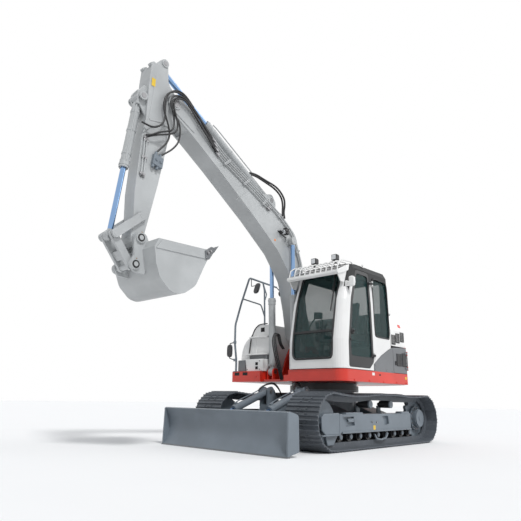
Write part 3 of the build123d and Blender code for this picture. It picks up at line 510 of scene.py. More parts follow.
@dataclass(frozen=True)
class RodSteel(Finish):
    """Chromed cylinder rod whose eye end is painted in the main colour.

    Attributes:
        eye: x and z of the eye's middle.
        toward: x and z of the cylinder's foot.
        painted: length of the painted end.
    """

    eye: Spot
    toward: Spot
    painted: float = 0.082

    def surface(self, shader: Shader) -> bpy.types.Material:
        """Paint near the eye and chrome beyond it, whose blue is painted reflection.

        Args:
            shader: the material's nodes.

        Returns:
            The material.
        """
        line = (Vector(self.toward) - Vector(self.eye)).normalized()
        along = (shader.axis("X") - self.eye[0]) * line.x + (shader.axis("Z") - self.eye[1]) * line.y
        bare = along.above(self.painted)
        streak = shader.noise(90.0, 3.0, 0.6, (1.0, 1.0, 0.1))
        cloud = shader.noise(3.0, 3.0, 0.5)
        paint = shader.mix(cloud, self.tone(0.92), self.colour)
        # the chrome's blue is painted reflection, not the metal's own colour
        metal = shader.mix(cloud, (0.2, 0.34, 0.58), (0.3, 0.44, 0.66))
        return shader.finish(
            Base_Color=shader.mix(bare, paint, metal),
            Metallic=bare,
            Roughness=0.36 - bare * 0.28 + streak * 0.05,
            Normal=shader.bump(streak, 0.1, 0.0001),
        )


@dataclass(frozen=True)
class Screen(Finish):
    """Dark display with a lit picture.

    Attributes:
        green: colour of the lit bands.
        blue: colour between them.
    """

    green: Colour = (0.02, 0.3, 0.16)
    blue: Colour = (0.03, 0.1, 0.32)

    def surface(self, shader: Shader) -> bpy.types.Material:
        """Soft lit bands on dark glass.

        Args:
            shader: the material's nodes.

        Returns:
            The material.
        """
        bands = shader.cells(34.0, (1, 1, 1.6)).ramp(0.2, 0.5)
        return shader.finish(
            Base_Color=self.colour,
            Roughness=0.12 + bands * 0.04,
            Emission_Color=shader.mix(bands, self.green, self.blue),
            Emission_Strength=0.8,
        )


@dataclass(frozen=True)
class CabPaint(Finish):
    """Paint of the cab's shell outside and dark lining inside.

    Attributes:
        lining: the lining's colour.
        low: lowest corner of the lined room.
        high: its highest corner.
    """

    lining: Colour = (0.016, 0.017, 0.018)
    low: Point = (-0.33, 0.118, 1.21)
    high: Point = (1.198, 1.196, 2.955)

    def surface(self, shader: Shader) -> bpy.types.Material:
        """Paint, and lining within the room's box and its leaning front and side.

        Args:
            shader: the material's nodes.

        Returns:
            The material.
        """
        x, y, z = (shader.axis(name) for name in "XYZ")
        inside = 1.0
        for place, low, high in zip((x, y, z), self.low, self.high):
            inside = place.above(low) * place.below(high) * inside
        lean = x + (z - 1.65).most(0.0) * 0.1846
        steep = x + (z - 2.3) * 0.388
        inside = inside * lean.below(1.198) * steep.below(1.078) * (lean + y).below(2.29)
        cloud = shader.noise(1.4, 4.0, 0.55)
        peel = shader.noise(150.0, 2.0, 0.5)
        paint = shader.mix(cloud.ramp(0.35, 0.7), self.tone(0.93), self.colour)
        return shader.finish(
            Base_Color=shader.mix(inside, paint, self.lining),
            Roughness=0.32 + inside * 0.35 + (cloud - 0.5) * 0.08,
            Coat_Weight=(1.0 - inside) * 0.25,
            Normal=shader.bump(peel, 0.25, 0.0003),
        )


WHITE = (0.8, 0.8, 0.79)
PALE = (0.42, 0.435, 0.44)
FINISHES = {
    Slot.WHITE: Paint("White paint", WHITE),
    Slot.PALE: Paint("Pale grey paint", PALE, 0.42, 0.1),
    Slot.RED: Paint("Red paint", (0.66, 0.03, 0.014), 0.34, 0.2),
    Slot.SLATE: Paint("Slate paint", (0.155, 0.185, 0.215), 0.45, 0.12, 0.0005, 0.2),
    Slot.SIDE_GREY: Paint("Side cover grey", (0.15, 0.158, 0.168), 0.4, 0.2),
    Slot.BLACK: Paint("Black paint", (0.016, 0.016, 0.018), 0.42, 0.1),
    Slot.PLASTIC: Polymer("Black rubber and plastic", (0.012, 0.012, 0.013)),
    # the chrome colour's blue tint is painted reflection
    Slot.CHROME: BareSteel("Chromed rod", (0.62, 0.7, 0.82), 0.07, 300.0),
    Slot.TRACK: CastSteel("Track steel", (0.095, 0.108, 0.125)),
    Slot.PIN: BareSteel("Pin steel", (0.34, 0.34, 0.35), 0.36),
    Slot.ENGINE: CastSteel("Engine iron", (0.1, 0.105, 0.11), scuff=0.1),
    Slot.GLASS: TintedGlass("Cab glass", (0.02, 0.06, 0.06), 0.66),
    Slot.CLOTH: Woven("Seat cloth", (0.018, 0.018, 0.02)),
    Slot.WORN: CastSteel("Worn steel", (0.16, 0.17, 0.18), (0.45, 0.45, 0.45), 0.6),
}
# near-black painted shade, laid as thin sheets where holes, slots and vents lie in shade
SHADE = Polymer("Painted recess shade", (0.006, 0.006, 0.007), 0.8, 0.0002)
YELLOW = Paint("Blank yellow label", (0.78, 0.52, 0.03), 0.45, 0.1, 0.0001, 0.0)
PLATE_WHITE = Paint("Blank white label", (0.78, 0.78, 0.76), 0.4, 0.1, 0.0001, 0.0)
ORANGE = Paint("Orange mark", (0.8, 0.22, 0.02), 0.4, 0.1, 0.0001, 0.0)
BRASS = BareSteel("Brass nipple", (0.36, 0.22, 0.12), 0.35)
HOSE = Polymer("Hose rubber", (0.01, 0.01, 0.011), 0.42, 0.0002)
LENS = Lens("Lamp lens", (0.72, 0.74, 0.76))
MIRROR = BareSteel("Mirror glass", (0.8, 0.82, 0.84), 0.03, 20.0)
SCREEN = Screen("Display", (0.01, 0.012, 0.014))
# nodes whose finish differs from their slot's plain one
NODE_FINISHES = {
    "cab_frame": CabPaint("Cab paint and lining", WHITE),
    "boom_rods": RodSteel("Boom rods", PALE, (1.0196, 3.4868), (0.953, 1.184)),
    "arm_rod": RodSteel("Arm rod", PALE, (3.9597, 5.6262), (1.4284, 4.19)),
    "bucket_rod": RodSteel("Bucket rod", PALE, (4.5328, 2.7598), (4.2876, 4.9132)),
    "blade_rods": RodSteel("Blade rods", PALE, (2.255, 0.43), (1.14, 0.845)),
}


class Paintbox:
    """Makes each finish once and hands it out."""

    def __init__(self) -> None:
        """Start with no materials made."""
        self.made: dict[str, bpy.types.Material] = {}

    def get(self, finish: object) -> bpy.types.Material:
        """Return the material of a slot or of a finish, made on first use.

        Args:
            finish: a Slot or a finish of its own.

        Returns:
            Its material.
        """
        recipe = FINISHES[finish] if isinstance(finish, Slot) else finish
        if recipe.name not in self.made:
            self.made[recipe.name] = recipe.material()
        return self.made[recipe.name]

    def dress(self, frame: dict) -> None:
        """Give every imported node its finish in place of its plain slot.

        Args:
            frame: the loaded frame, with its record and its nodes by name.
        """
        slots = {row["node"]: row["material_slot"] for row in frame["record"]["subparts"]}
        for name, node in frame["nodes"].items():
            node.data.materials.clear()
            node.data.materials.append(self.get(NODE_FINISHES.get(name, Slot(slots[name]))))
        LOG.info("dressed %d nodes", len(slots))


# Modelling by operators

def profile(*lengths: float) -> tuple[Spot, ...]:
    """Points of an outline from millimetres, two by two."""
    return tuple((a / 1000, b / 1000) for a, b in zip(lengths[::2], lengths[1::2]))


def course(*lengths: float) -> tuple[Point, ...]:
    """Points in space from millimetres, three by three."""
    threes = zip(lengths[::3], lengths[1::3], lengths[2::3])
    return tuple((a / 1000, b / 1000, c / 1000) for a, b, c in threes)


def around(y: float, z: float, half: float) -> tuple[Spot, ...]:
    """Corners of a square round a middle."""
    return ((y - half, z - half), (y + half, z - half), (y + half, z + half), (y - half, z + half))


def sideways(x: float, z: float, y: float) -> Point:
    """Place of an outline point on an upright plane along the machine."""
    return (x, y, z)


def crosswise(y: float, z: float, x: float) -> Point:
    """Place of an outline point on an upright plane across the machine."""
    return (x, y, z)


@dataclass
class Bench:
    """Makes meshes with modelling operators and gathers them into finished pieces.

    Attributes:
        paints: the paints that pieces are dressed with.
    """

    paints: Paintbox

    @staticmethod
    def primitive(add: Callable, **sizes: object) -> Mesh:
        """Add a primitive with nothing else selected.

        Args:
            add: the operator that adds it.
            sizes: the operator's settings.

        Returns:
            The mesh object.
        """
        bpy.ops.object.select_all(action="DESELECT")
        add(**sizes)
        return bpy.context.active_object

    @staticmethod
    def pick(piece: Mesh) -> None:
        """Make a piece the active object and the only selected one.

        Args:
            piece: the object.
        """
        bpy.ops.object.select_all(action="DESELECT")
        piece.select_set(True)
        bpy.context.view_layer.objects.active = piece

    @staticmethod
    def smooth(angle: float) -> None:
        """Shade the selected piece smooth, with edges sharp past an angle in degrees."""
        bpy.ops.object.shade_smooth_by_angle(angle=math.radians(angle))

    @staticmethod
    def outward() -> None:
        """Turn all faces of the edited mesh outwards."""
        bpy.ops.mesh.select_all(action="SELECT")
        bpy.ops.mesh.normals_make_consistent(inside=False)

    def edit(self, piece: Mesh, *steps: Callable[[], object]) -> Mesh:
        """Run edit-mode steps on a whole mesh.

        Args:
            piece: the mesh object.
            steps: calls that are made in edit mode in turn.

        Returns:
            The same object.
        """
        self.pick(piece)
        bpy.ops.object.mode_set(mode="EDIT")
        bpy.ops.mesh.select_all(action="SELECT")
        for step in steps:
            step()
        bpy.ops.object.mode_set(mode="OBJECT")
        return piece

    def inset(self, piece: Mesh, chosen: Callable[[float], bool], width: float, depth: float) -> None:
        """Inset some level faces.

        Args:
            piece: the mesh object.
            chosen: tells from the rise of a face's normal if it is taken.
            width: width of the new rim.
            depth: how far the face moves out.
        """
        def step() -> None:
            """Select the faces and inset them."""
            bpy.ops.mesh.select_all(action="DESELECT")
            bpy.ops.object.mode_set(mode="OBJECT")
            for face in piece.data.polygons:
                face.select = chosen(face.normal.z)
            bpy.ops.object.mode_set(mode="EDIT")
            bpy.ops.mesh.inset(thickness=width, depth=depth)
        self.edit(piece, step)

    def block(self, low: Point, high: Point, radius: float = 0.004, segments: int = 2) -> Mesh:
        """Box between two corners with rounded edges.

        Args:
            low: lowest corner.
            high: highest corner.
            radius: rounding of the edges.
            segments: flats in each rounding.

        Returns:
            The mesh object.
        """
        middle = [(a + b) / 2 for a, b in zip(low, high)]
        piece = self.primitive(bpy.ops.mesh.primitive_cube_add, size=1, location=middle)
        piece.scale = [b - a for a, b in zip(low, high)]
        bpy.ops.object.transform_apply(location=True, rotation=True, scale=True)
        return self.rounded(piece, radius, segments)

    def rounded(self, piece: Mesh, radius: float, segments: int = 2) -> Mesh:
        """Round all edges of a mesh."""
        return self.edit(piece, lambda: bpy.ops.mesh.bevel(
            offset=radius, segments=segments, affect="EDGES", clamp_overlap=True))

    @staticmethod
    def laid(piece: Mesh, start: Point, end: Point) -> None:
        """Lay a mesh that stands about the origin along Z between two points.

        Args:
            piece: the mesh object.
            start: where its foot goes.
            end: where its top goes.
        """
        turn = (Vector(end) - Vector(start)).to_track_quat("Z", "Y").to_matrix().to_4x4()
        piece.data.transform(Matrix.Translation((Vector(start) + Vector(end)) / 2) @ turn)
        piece.data.update()

    def rod(self, start: Point, end: Point, radius: float, lip: float = 0.002, sides: int = 20) -> Mesh:
        """Round bar between two points with raised, inset end faces.

        Args:
            start: middle of one end.
            end: middle of the other.
            radius: its radius.
            lip: width and height of the rim at both ends.
            sides: flats round it.

        Returns:
            The mesh object.
        """
        length = (Vector(end) - Vector(start)).length
        piece = self.primitive(bpy.ops.mesh.primitive_cylinder_add, vertices=sides, radius=radius,
                               depth=length)
        self.inset(piece, lambda rise: abs(rise) > 0.9, lip, lip)
        self.laid(piece, start, end)
        self.smooth(40)
        return piece

    def disc(self, x: float, z: float, low: float, high: float, *size: float) -> Mesh:
        """Round bar across the machine between two y places, sized as a rod."""
        return self.rod((x, low, z), (x, high, z), *size)

    def band(self, start: Point, end: Point, radius: float, wall: float = 0.008, sides: int = 32) -> Mesh:
        """Ring round a cylinder, open inside.

        Args:
            start: middle of one end.
            end: middle of the other.
            radius: its outer radius.
            wall: its thickness.
            sides: flats round it.

        Returns:
            The mesh object.
        """
        length = (Vector(end) - Vector(start)).length
        piece = self.primitive(bpy.ops.mesh.primitive_cylinder_add, vertices=sides, radius=radius,
                               depth=length, end_fill_type="NOTHING")
        thick = piece.modifiers.new("Wall", "SOLIDIFY")
        thick.thickness = wall
        thick.offset = -1.0
        bpy.ops.object.modifier_apply(modifier="Wall")
        self.laid(piece, start, end)
        self.edit(piece, self.outward)
        self.smooth(40)
        return piece

    def plate(self, corners: Sequence[Spot], place: Callable[[float, float, float], Point],
              low: float, high: float, radius: float = 0.003) -> Mesh:
        """Flat plate cut to an outline and pulled to its thickness.

        Args:
            corners: the outline's points.
            place: turns an outline point and a depth into a place.
            low: depth of one face.
            high: depth of the other.
            radius: rounding of the edges.

        Returns:
            The mesh object.
        """
        piece = self.primitive(bpy.ops.mesh.primitive_circle_add, vertices=len(corners), fill_type="NGON")
        for vertex, corner in zip(piece.data.vertices, corners):
            vertex.co = place(*corner, low)
        depth = Vector(place(*corners[0], high)) - Vector(place(*corners[0], low))
        self.edit(piece, lambda: bpy.ops.mesh.extrude_region_move(TRANSFORM_OT_translate={"value": depth}),
                  self.outward)
        return self.rounded(piece, radius)

    def hose(self, points: Sequence[Point], radius: float, sides: int = 6) -> Mesh:
        """Smooth flexible tube along a line.

        Args:
            points: control points of its line.
            radius: its radius.
            sides: flats round it.

        Returns:
            The mesh object.
        """
        data = bpy.data.curves.new("Hose line", "CURVE")
        data.dimensions = "3D"
        data.bevel_depth = radius
        data.bevel_resolution = sides // 2
        data.use_fill_caps = True
        data.resolution_u = 8
        spline = data.splines.new("NURBS")
        spline.points.add(len(points) - 1)
        for control, point in zip(spline.points, points):
            control.co = (*point, 1.0)
        spline.order_u = 3
        spline.use_endpoint_u = True
        line = bpy.data.objects.new("Hose line", data)
        bpy.context.collection.objects.link(line)
        self.pick(line)
        bpy.ops.object.convert(target="MESH")
        piece = bpy.context.active_object
        self.edit(piece, lambda: bpy.ops.mesh.remove_doubles(threshold=0.0001), self.outward)
        self.smooth(50)
        return piece

    def bolt(self, place: Point, outward: Point, width: float = 0.024) -> Mesh:
        """Hexagon bolt head with a flange, standing on a face.

        Args:
            place: point of the face under the head's middle.
            outward: direction out of the face.
            width: size across the flats.

        Returns:
            The mesh object.
        """
        both = []
        for sides, radius, depth in ((6, 0.58, 0.62), (14, 0.74, 0.14)):
            both.append(self.primitive(bpy.ops.mesh.primitive_cylinder_add, vertices=sides,
                                       radius=width * radius, depth=width * depth,
                                       location=(0, 0, width * depth / 2)))
            bpy.ops.object.transform_apply(location=True, rotation=True, scale=True)
        self.inset(both[0], lambda rise: rise > 0.9, width * 0.1, width * 0.05)
        piece = self.merged(both)
        turn = Vector(outward).to_track_quat("Z", "Y").to_matrix().to_4x4()
        piece.data.transform(Matrix.Translation(Vector(place)) @ turn)
        return piece

    @staticmethod
    def copies(piece: Mesh, places: Iterable[Matrix]) -> list[Mesh]:
        """Copies of a piece, each with its own mesh; the pattern itself is removed.

        Args:
            piece: the pattern, modelled round the origin.
            places: where each copy goes.

        Returns:
            The copies.
        """
        made = []
        for place in places:
            mesh = piece.data.copy()
            mesh.transform(place)
            made.append(bpy.data.objects.new(piece.name, mesh))
            bpy.context.collection.objects.link(made[-1])
        bpy.data.objects.remove(piece)
        return made

    def merged(self, pieces: Sequence[Mesh]) -> Mesh:
        """Join mesh objects into one and return it.

        Args:
            pieces: the mesh objects.

        Returns:
            The one that is left.
        """
        self.pick(pieces[0])
        for piece in pieces[1:]:
            piece.select_set(True)
        if len(pieces) > 1:
            bpy.ops.object.join()
        return bpy.context.active_object

    def painted(self, name: str, pieces: Sequence[Mesh], finish: object, slot: Slot) -> Mesh:
        """Join meshes into a named piece with one finish.

        Args:
            name: the piece's name.
            pieces: its meshes.
            finish: a Slot or a finish of its own.
            slot: the record's slot; not used.

        Returns:
            The piece.
        """
        piece = self.merged(pieces)
        piece.name = piece.data.name = name
        piece.data.materials.clear()
        piece.data.materials.append(self.paints.get(finish))
        return piece

    def finished(self, name: str, pieces: Sequence[Mesh], body: str, finish: object,
                 slot: Optional[Slot] = None) -> Mesh:
        """Join meshes into a named piece, paint it and fix it to a body.

        Args:
            name: the piece's name.
            pieces: its meshes.
            body: the CAD body that it rides on.
            finish: a Slot or a finish of its own.
            slot: the record's slot, where the finish isn't one.

        Returns:
            The finished piece.
        """
        piece = self.painted(name, pieces, finish, slot or finish)
        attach(piece, body)
        LOG.info("%s: %d faces on %s", name, len(piece.data.polygons), body)
        return piece

    def bending(self, name: str, hoses: Sequence[Mesh], *blend: object) -> None:
        """Join black hoses into one piece in the world's frame.

        Args:
            name: the piece's name.
            hoses: its meshes.
            blend: both bodies and the places where the bend starts and ends.
        """
        piece = self.painted(name, hoses, HOSE, Slot.PLASTIC)
        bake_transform(piece)
        LOG.info("%s: bends from %s to %s", name, blend[0], blend[1])


@dataclass
class Member:
    """Side view of the boom, the arm or a cylinder: its own axis and the places along it.

    Attributes:
        origin: x and z of its root pin.
        toward: x and z of its tip pin.
    """

    origin: Spot
    toward: Spot

    def at(self, along: float, across: float, y: float) -> Point:
        """Place from distances along and across the member.

        Args:
            along: distance from the root pin towards the tip pin.
            across: distance to the left of that line.
            y: place across the machine.

        Returns:
            The place in the machine's frame.
        """
        unit = (Vector(self.toward) - Vector(self.origin)).normalized()
        spot = Vector(self.origin) + unit * along + Vector((-unit.y, unit.x)) * across
        return (spot.x, y, spot.y)


BOOM = Member((0.448, 1.525), (3.741, 5.022))
ARM = Member((3.741, 5.022), (4.188, 2.766))
ARM_EYE = ARM.at(-0.55, 0.332, 0)[::2]
BUCKET_FOOT = ARM.at(0.213, 0.515, 0)[::2]
ARM_CYLINDER = Member(BOOM.at(2.612, 1.113, 0)[::2], ARM_EYE)
BUCKET_CYLINDER = Member(BUCKET_FOOT, ARM.at(2.373, 0.337, 0)[::2])
BOOM_CYLINDER = Member((0.953, 1.184), BOOM.at(1.82, 0.929, 0)[::2])
PUSH_PIN = (2.677, -0.023)


@dataclass
class Crawler(Bench):
    """Bolts, covers and caps of both crawler tracks.

    Attributes:
        gauge_half: distance of a track's middle from the machine's.
        idler: x of the front wheel.
        sprocket: x of the drive wheel.
        pitch_radius: radius of the chain round both wheels.
        shoes: shoes in one loop.
        tread: height of a shoe's face over the chain's pins.
        carriers: x of the upper rollers.
        sags: how far each upper run hangs down.
    """

    gauge_half: float = 0.995
    idler: float = 1.563
    sprocket: float = -1.427
    pitch_radius: float = 0.354
    shoes: int = 48
    tread: float = 0.047
    carriers: Spot = (0.263, -0.413)
    sags: Point = (0.042, 0.006, 0.03)

    def chain(self) -> list[Spot]:
        """Closed line through the chain's pins, starting under the drive wheel.

        Returns:
            Its points, x and z.
        """
        middle = 0.068 + self.pitch_radius
        points = [(self.sprocket, 0.068), (self.idler, 0.068)]
        for step in range(1, 36):
            turn = math.radians(-90 + 5 * step)
            points.append((self.idler + self.pitch_radius * math.cos(turn),
                           middle + self.pitch_radius * math.sin(turn)))
        supports = (self.idler, *self.carriers, self.sprocket)
        for start, end, sag in zip(supports, supports[1:], self.sags):
            for step in range(12):
                part = step / 12
                height = middle + self.pitch_radius - 4 * sag * part * (1 - part)
                points.append((start + (end - start) * part, height))
        for step in range(36):
            turn = math.radians(90 + 5 * step)
            points.append((self.sprocket + self.pitch_radius * math.cos(turn),
                           middle + self.pitch_radius * math.sin(turn)))
        return points + points[:1]

    def shoe_frames(self) -> list[Matrix]:
        """Frames of the shoes: X along the chain, Y across it and Z out of the shoe's face.

        Returns:
            One frame for each shoe.
        """
        line = [Vector((x, 0, z)) for x, z in self.chain()]
        lengths = [(b - a).length for a, b in zip(line, line[1:])]
        pitch = sum(lengths) / self.shoes
        pins, index, walked = [], 0, 0.0
        for shoe in range(self.shoes):
            while walked + lengths[index] < shoe * pitch:
                walked += lengths[index]
                index += 1
            share = (shoe * pitch - walked) / lengths[index]
            pins.append(line[index].lerp(line[index + 1], share))
        frames = []
        for start, end in zip(pins, pins[1:] + pins[:1]):
            along = (end - start).normalized()
            across = Vector((0, 1, 0))
            out = Vector((along.z, 0, -along.x))
            middle = (start + end) / 2 + out * self.tread
            rotation = Matrix((along, across, out)).transposed().to_4x4()
            frames.append(Matrix.Translation(middle) @ rotation)
        return frames

    def build(self) -> None:
        """Make the fittings of the left track and mirror them to the right."""
        for side, name in ((1, "left"), (-1, "right")):
            self.shoe_bolts(side, name)
            self.frame_covers(side, name)
            self.wheel_caps(side, name)

    def shoe_bolts(self, side: int, name: str) -> None:
        """Four bolts on every shoe, and a thin sheet of painted shade for its mud hole.

        Args:
            side: 1 for the left track and -1 for the right.
            name: the side's name.
        """
        centre = Matrix.Translation((0, side * self.gauge_half, 0))
        pattern = [self.bolt((x, y, 0.0), (0, 0, 1), 0.024) for x in (-0.036, 0.036) for y in (-0.075, 0.075)]
        heads = self.copies(self.merged(pattern), [centre @ frame for frame in self.shoe_frames()])
        # each mud hole is a thin near-black sheet of painted shade
        hole = self.block((-0.02, -0.03, -0.0002), (0.02, 0.03, 0.0012), 0.0008, 1)
        holes = self.copies(hole, [centre @ frame for frame in self.shoe_frames()])
        self.finished("Shoe_bolts_" + name, heads, "undercarriage", Slot.TRACK)
        self.finished("Shoe_mud_hole_shade_" + name, holes, "undercarriage", SHADE, Slot.BLACK)

    def frame_covers(self, side: int, name: str) -> None:
        """Idler cover, guide horn, ribs, pads and flange of a track frame.

        Args:
            side: 1 for the left track and -1 for the right.
            name: the side's name.
        """
        face = 1.145
        # outline, inner and outer depth, rounding
        shapes = (
            (profile(1252, 232, 1600, 232, 1690, 300, 1700, 478, 1640, 528, 1252, 536), face - 0.001, 1.17,
             0.01),
            (profile(1236, 520, 1165, 520, 1190, 246, 1236, 236), face - 0.001, 1.16, 0.006),
            (profile(1161, 238, -1035, 238, -1035, 262, 1161, 262), face - 0.002, 1.163, 0.004),
            (profile(1700, 218, 1236, 218, 1236, 236, 1700, 236), face - 0.001, 1.182, 0.004),
            (profile(1540, 216, 1240, 216, 1345, 85, 1500, 85), 1.096, 1.124, 0.006),
            (profile(985, 452, 560, 448, 590, 398, 955, 398), face - 0.022, face - 0.004, 0.005),
            (profile(-800, 450, -985, 448, -975, 404, -815, 404), face - 0.022, face - 0.004, 0.005),
            (profile(1040, 512, 540, 512, 560, 540, 1020, 540), 1.02, face - 0.002, 0.006),
            (profile(-720, 512, -1020, 512, -1000, 545, -740, 545), 1.02, face - 0.002, 0.006),
        )
        pieces = [self.plate(outline, sideways, side * low, side * high, radius)
                  for outline, low, high, radius in shapes]
        horn = profile(218, 200, 160, 118, 0, 96, -160, 118, -238, 200, -200, 200, -135, 140, 0, 122, 130,
                       140, 188, 200)
        pieces.append(self.plate(horn, sideways, side * 1.121, side * 1.143, 0.003))
        self.finished("Track_frame_covers_" + name, pieces, "undercarriage", Slot.SLATE)
        tag = profile(252, 335, 188, 335, 188, 270, 252, 270)
        sticker = self.plate(tag, sideways, side * face, side * (face + 0.0012), 0.0004)
        self.finished("Blank_sticker_" + name, [sticker], "undercarriage", YELLOW, Slot.SLATE)
        bolts = [self.bolt((x, side * face, z), (0, side, 0), 0.022)
                 for x, z in profile(291, 390, 150, 387, 1210, 480, 1210, 300)]
        self.finished("Track_frame_bolts_" + name, bolts, "undercarriage", Slot.PIN)

    def wheel_caps(self, side: int, name: str) -> None:
        """Hub caps of the rollers and the final drive's cover with its ring of bolts.

        Args:
            side: 1 for the left track and -1 for the right.
            name: the side's name.
        """
        caps, bolts = [], []
        for index in range(9):
            x = -1.03 + 0.2725 * index
            y = side * (self.gauge_half + 0.118)
            caps.append(self.disc(x, 0.1893, y - side * 0.002, y + side * 0.01, 0.03, 0.004, 16))
            caps.append(self.disc(x, 0.1893, y, y + side * 0.016, 0.012, 0.002, 8))
        for x in self.carriers:
            y = side * (self.gauge_half + 0.108)
            caps.append(self.disc(x, 0.664, y - side * 0.004, y + side * 0.01, 0.055, 0.006, 20))
        drive = (self.sprocket, 0.422)
        y = side * (self.gauge_half + 0.128)
        caps.append(self.disc(drive[0], drive[1], y - side * 0.01, y + side * 0.012, 0.14, 0.01, 36))
        caps.append(self.disc(drive[0], drive[1], y, y + side * 0.024, 0.04, 0.006, 18))
        for index in range(14):
            turn = math.tau * index / 14
            spot = (drive[0] + 0.19 * math.cos(turn), side * (self.gauge_half + 0.0695),
                    drive[1] + 0.19 * math.sin(turn))
            bolts.append(self.bolt(spot, (0, side, 0), 0.022))
        self.finished("Roller_and_drive_caps_" + name, caps, "undercarriage", Slot.SLATE)
        self.finished("Drive_bolts_" + name, bolts, "undercarriage", Slot.PIN)


@dataclass
class Blade(Bench):
    """Fittings of the dozer blade and its two cylinders.

    Attributes:
        foot: x and z of the cylinders' feet.
        lug: x and z of their eyes on the blade.
        sides: y of both cylinders.
    """

    foot: Spot = (1.14, 0.845)
    lug: Spot = (2.255, 0.43)
    sides: Spot = (0.38, -0.38)

    def build(self) -> None:
        """Make the cylinders' bands, ports and pipes, the hoses and the pin bolts."""
        cylinder = Member(self.foot, self.lug)
        turn = Matrix.Rotation(-math.atan2(self.lug[1] - self.foot[1], self.lug[0] - self.foot[0]), 4, "Y")
        bands, ports, hoses, bolts = [], [], [], []
        for y in self.sides:
            for start, end, radius in ((0.805, 0.842, 0.067), (0.745, 0.76, 0.0665)):
                bands.append(self.band(cylinder.at(start, 0, y), cylinder.at(end, 0, y), radius))
            for along in (0.165, 0.77):
                ports.append(self.block((-0.026, -0.02, -0.004), (0.026, 0.02, 0.03), 0.004))
                ports[-1].data.transform(Matrix.Translation(cylinder.at(along, 0.058, y)) @ turn)
            pipe = [cylinder.at(*spot, y) for spot in profile(770, 85, 700, 95, 300, 85, 200, 88)]
            ports.append(self.hose(pipe, 0.009))
            inward = -0.055 if y > 0 else 0.055
            for shift, along in ((0.0, 0.165), (0.018, 0.205)):
                hoses.append(self.hose([
                    cylinder.at(along, 0.085, y + shift * 0.3),
                    cylinder.at(along - 0.04, 0.13, y + inward * 0.3),
                    (1.13, y + inward * 1.9, 0.985 + shift), (1.02, y + inward * 2.3, 0.93 + shift),
                    (0.92, y + inward * 2.6, 0.8), (0.84, y + inward * 3.0, 0.62),
                ], 0.011))
            for x, z, out in ((1.33, 0.33, 0.0953), (1.14, 0.845, 0.1013)):
                bolts += [self.bolt((x, y + end * out, z), (0, end, 0), 0.02) for end in (-1, 1)]
        self.finished("Blade_cylinder_bands", bands, "blade_barrels", Slot.SLATE)
        self.finished("Blade_cylinder_pipes", ports, "blade_barrels", Slot.SLATE)
        self.bending("Blade_hoses", hoses, "undercarriage", "blade_barrels", (1.02, 0, 0.93), (1.2, 0, 0.93))
        self.finished("Blade_bolts", bolts, "undercarriage", Slot.PIN)


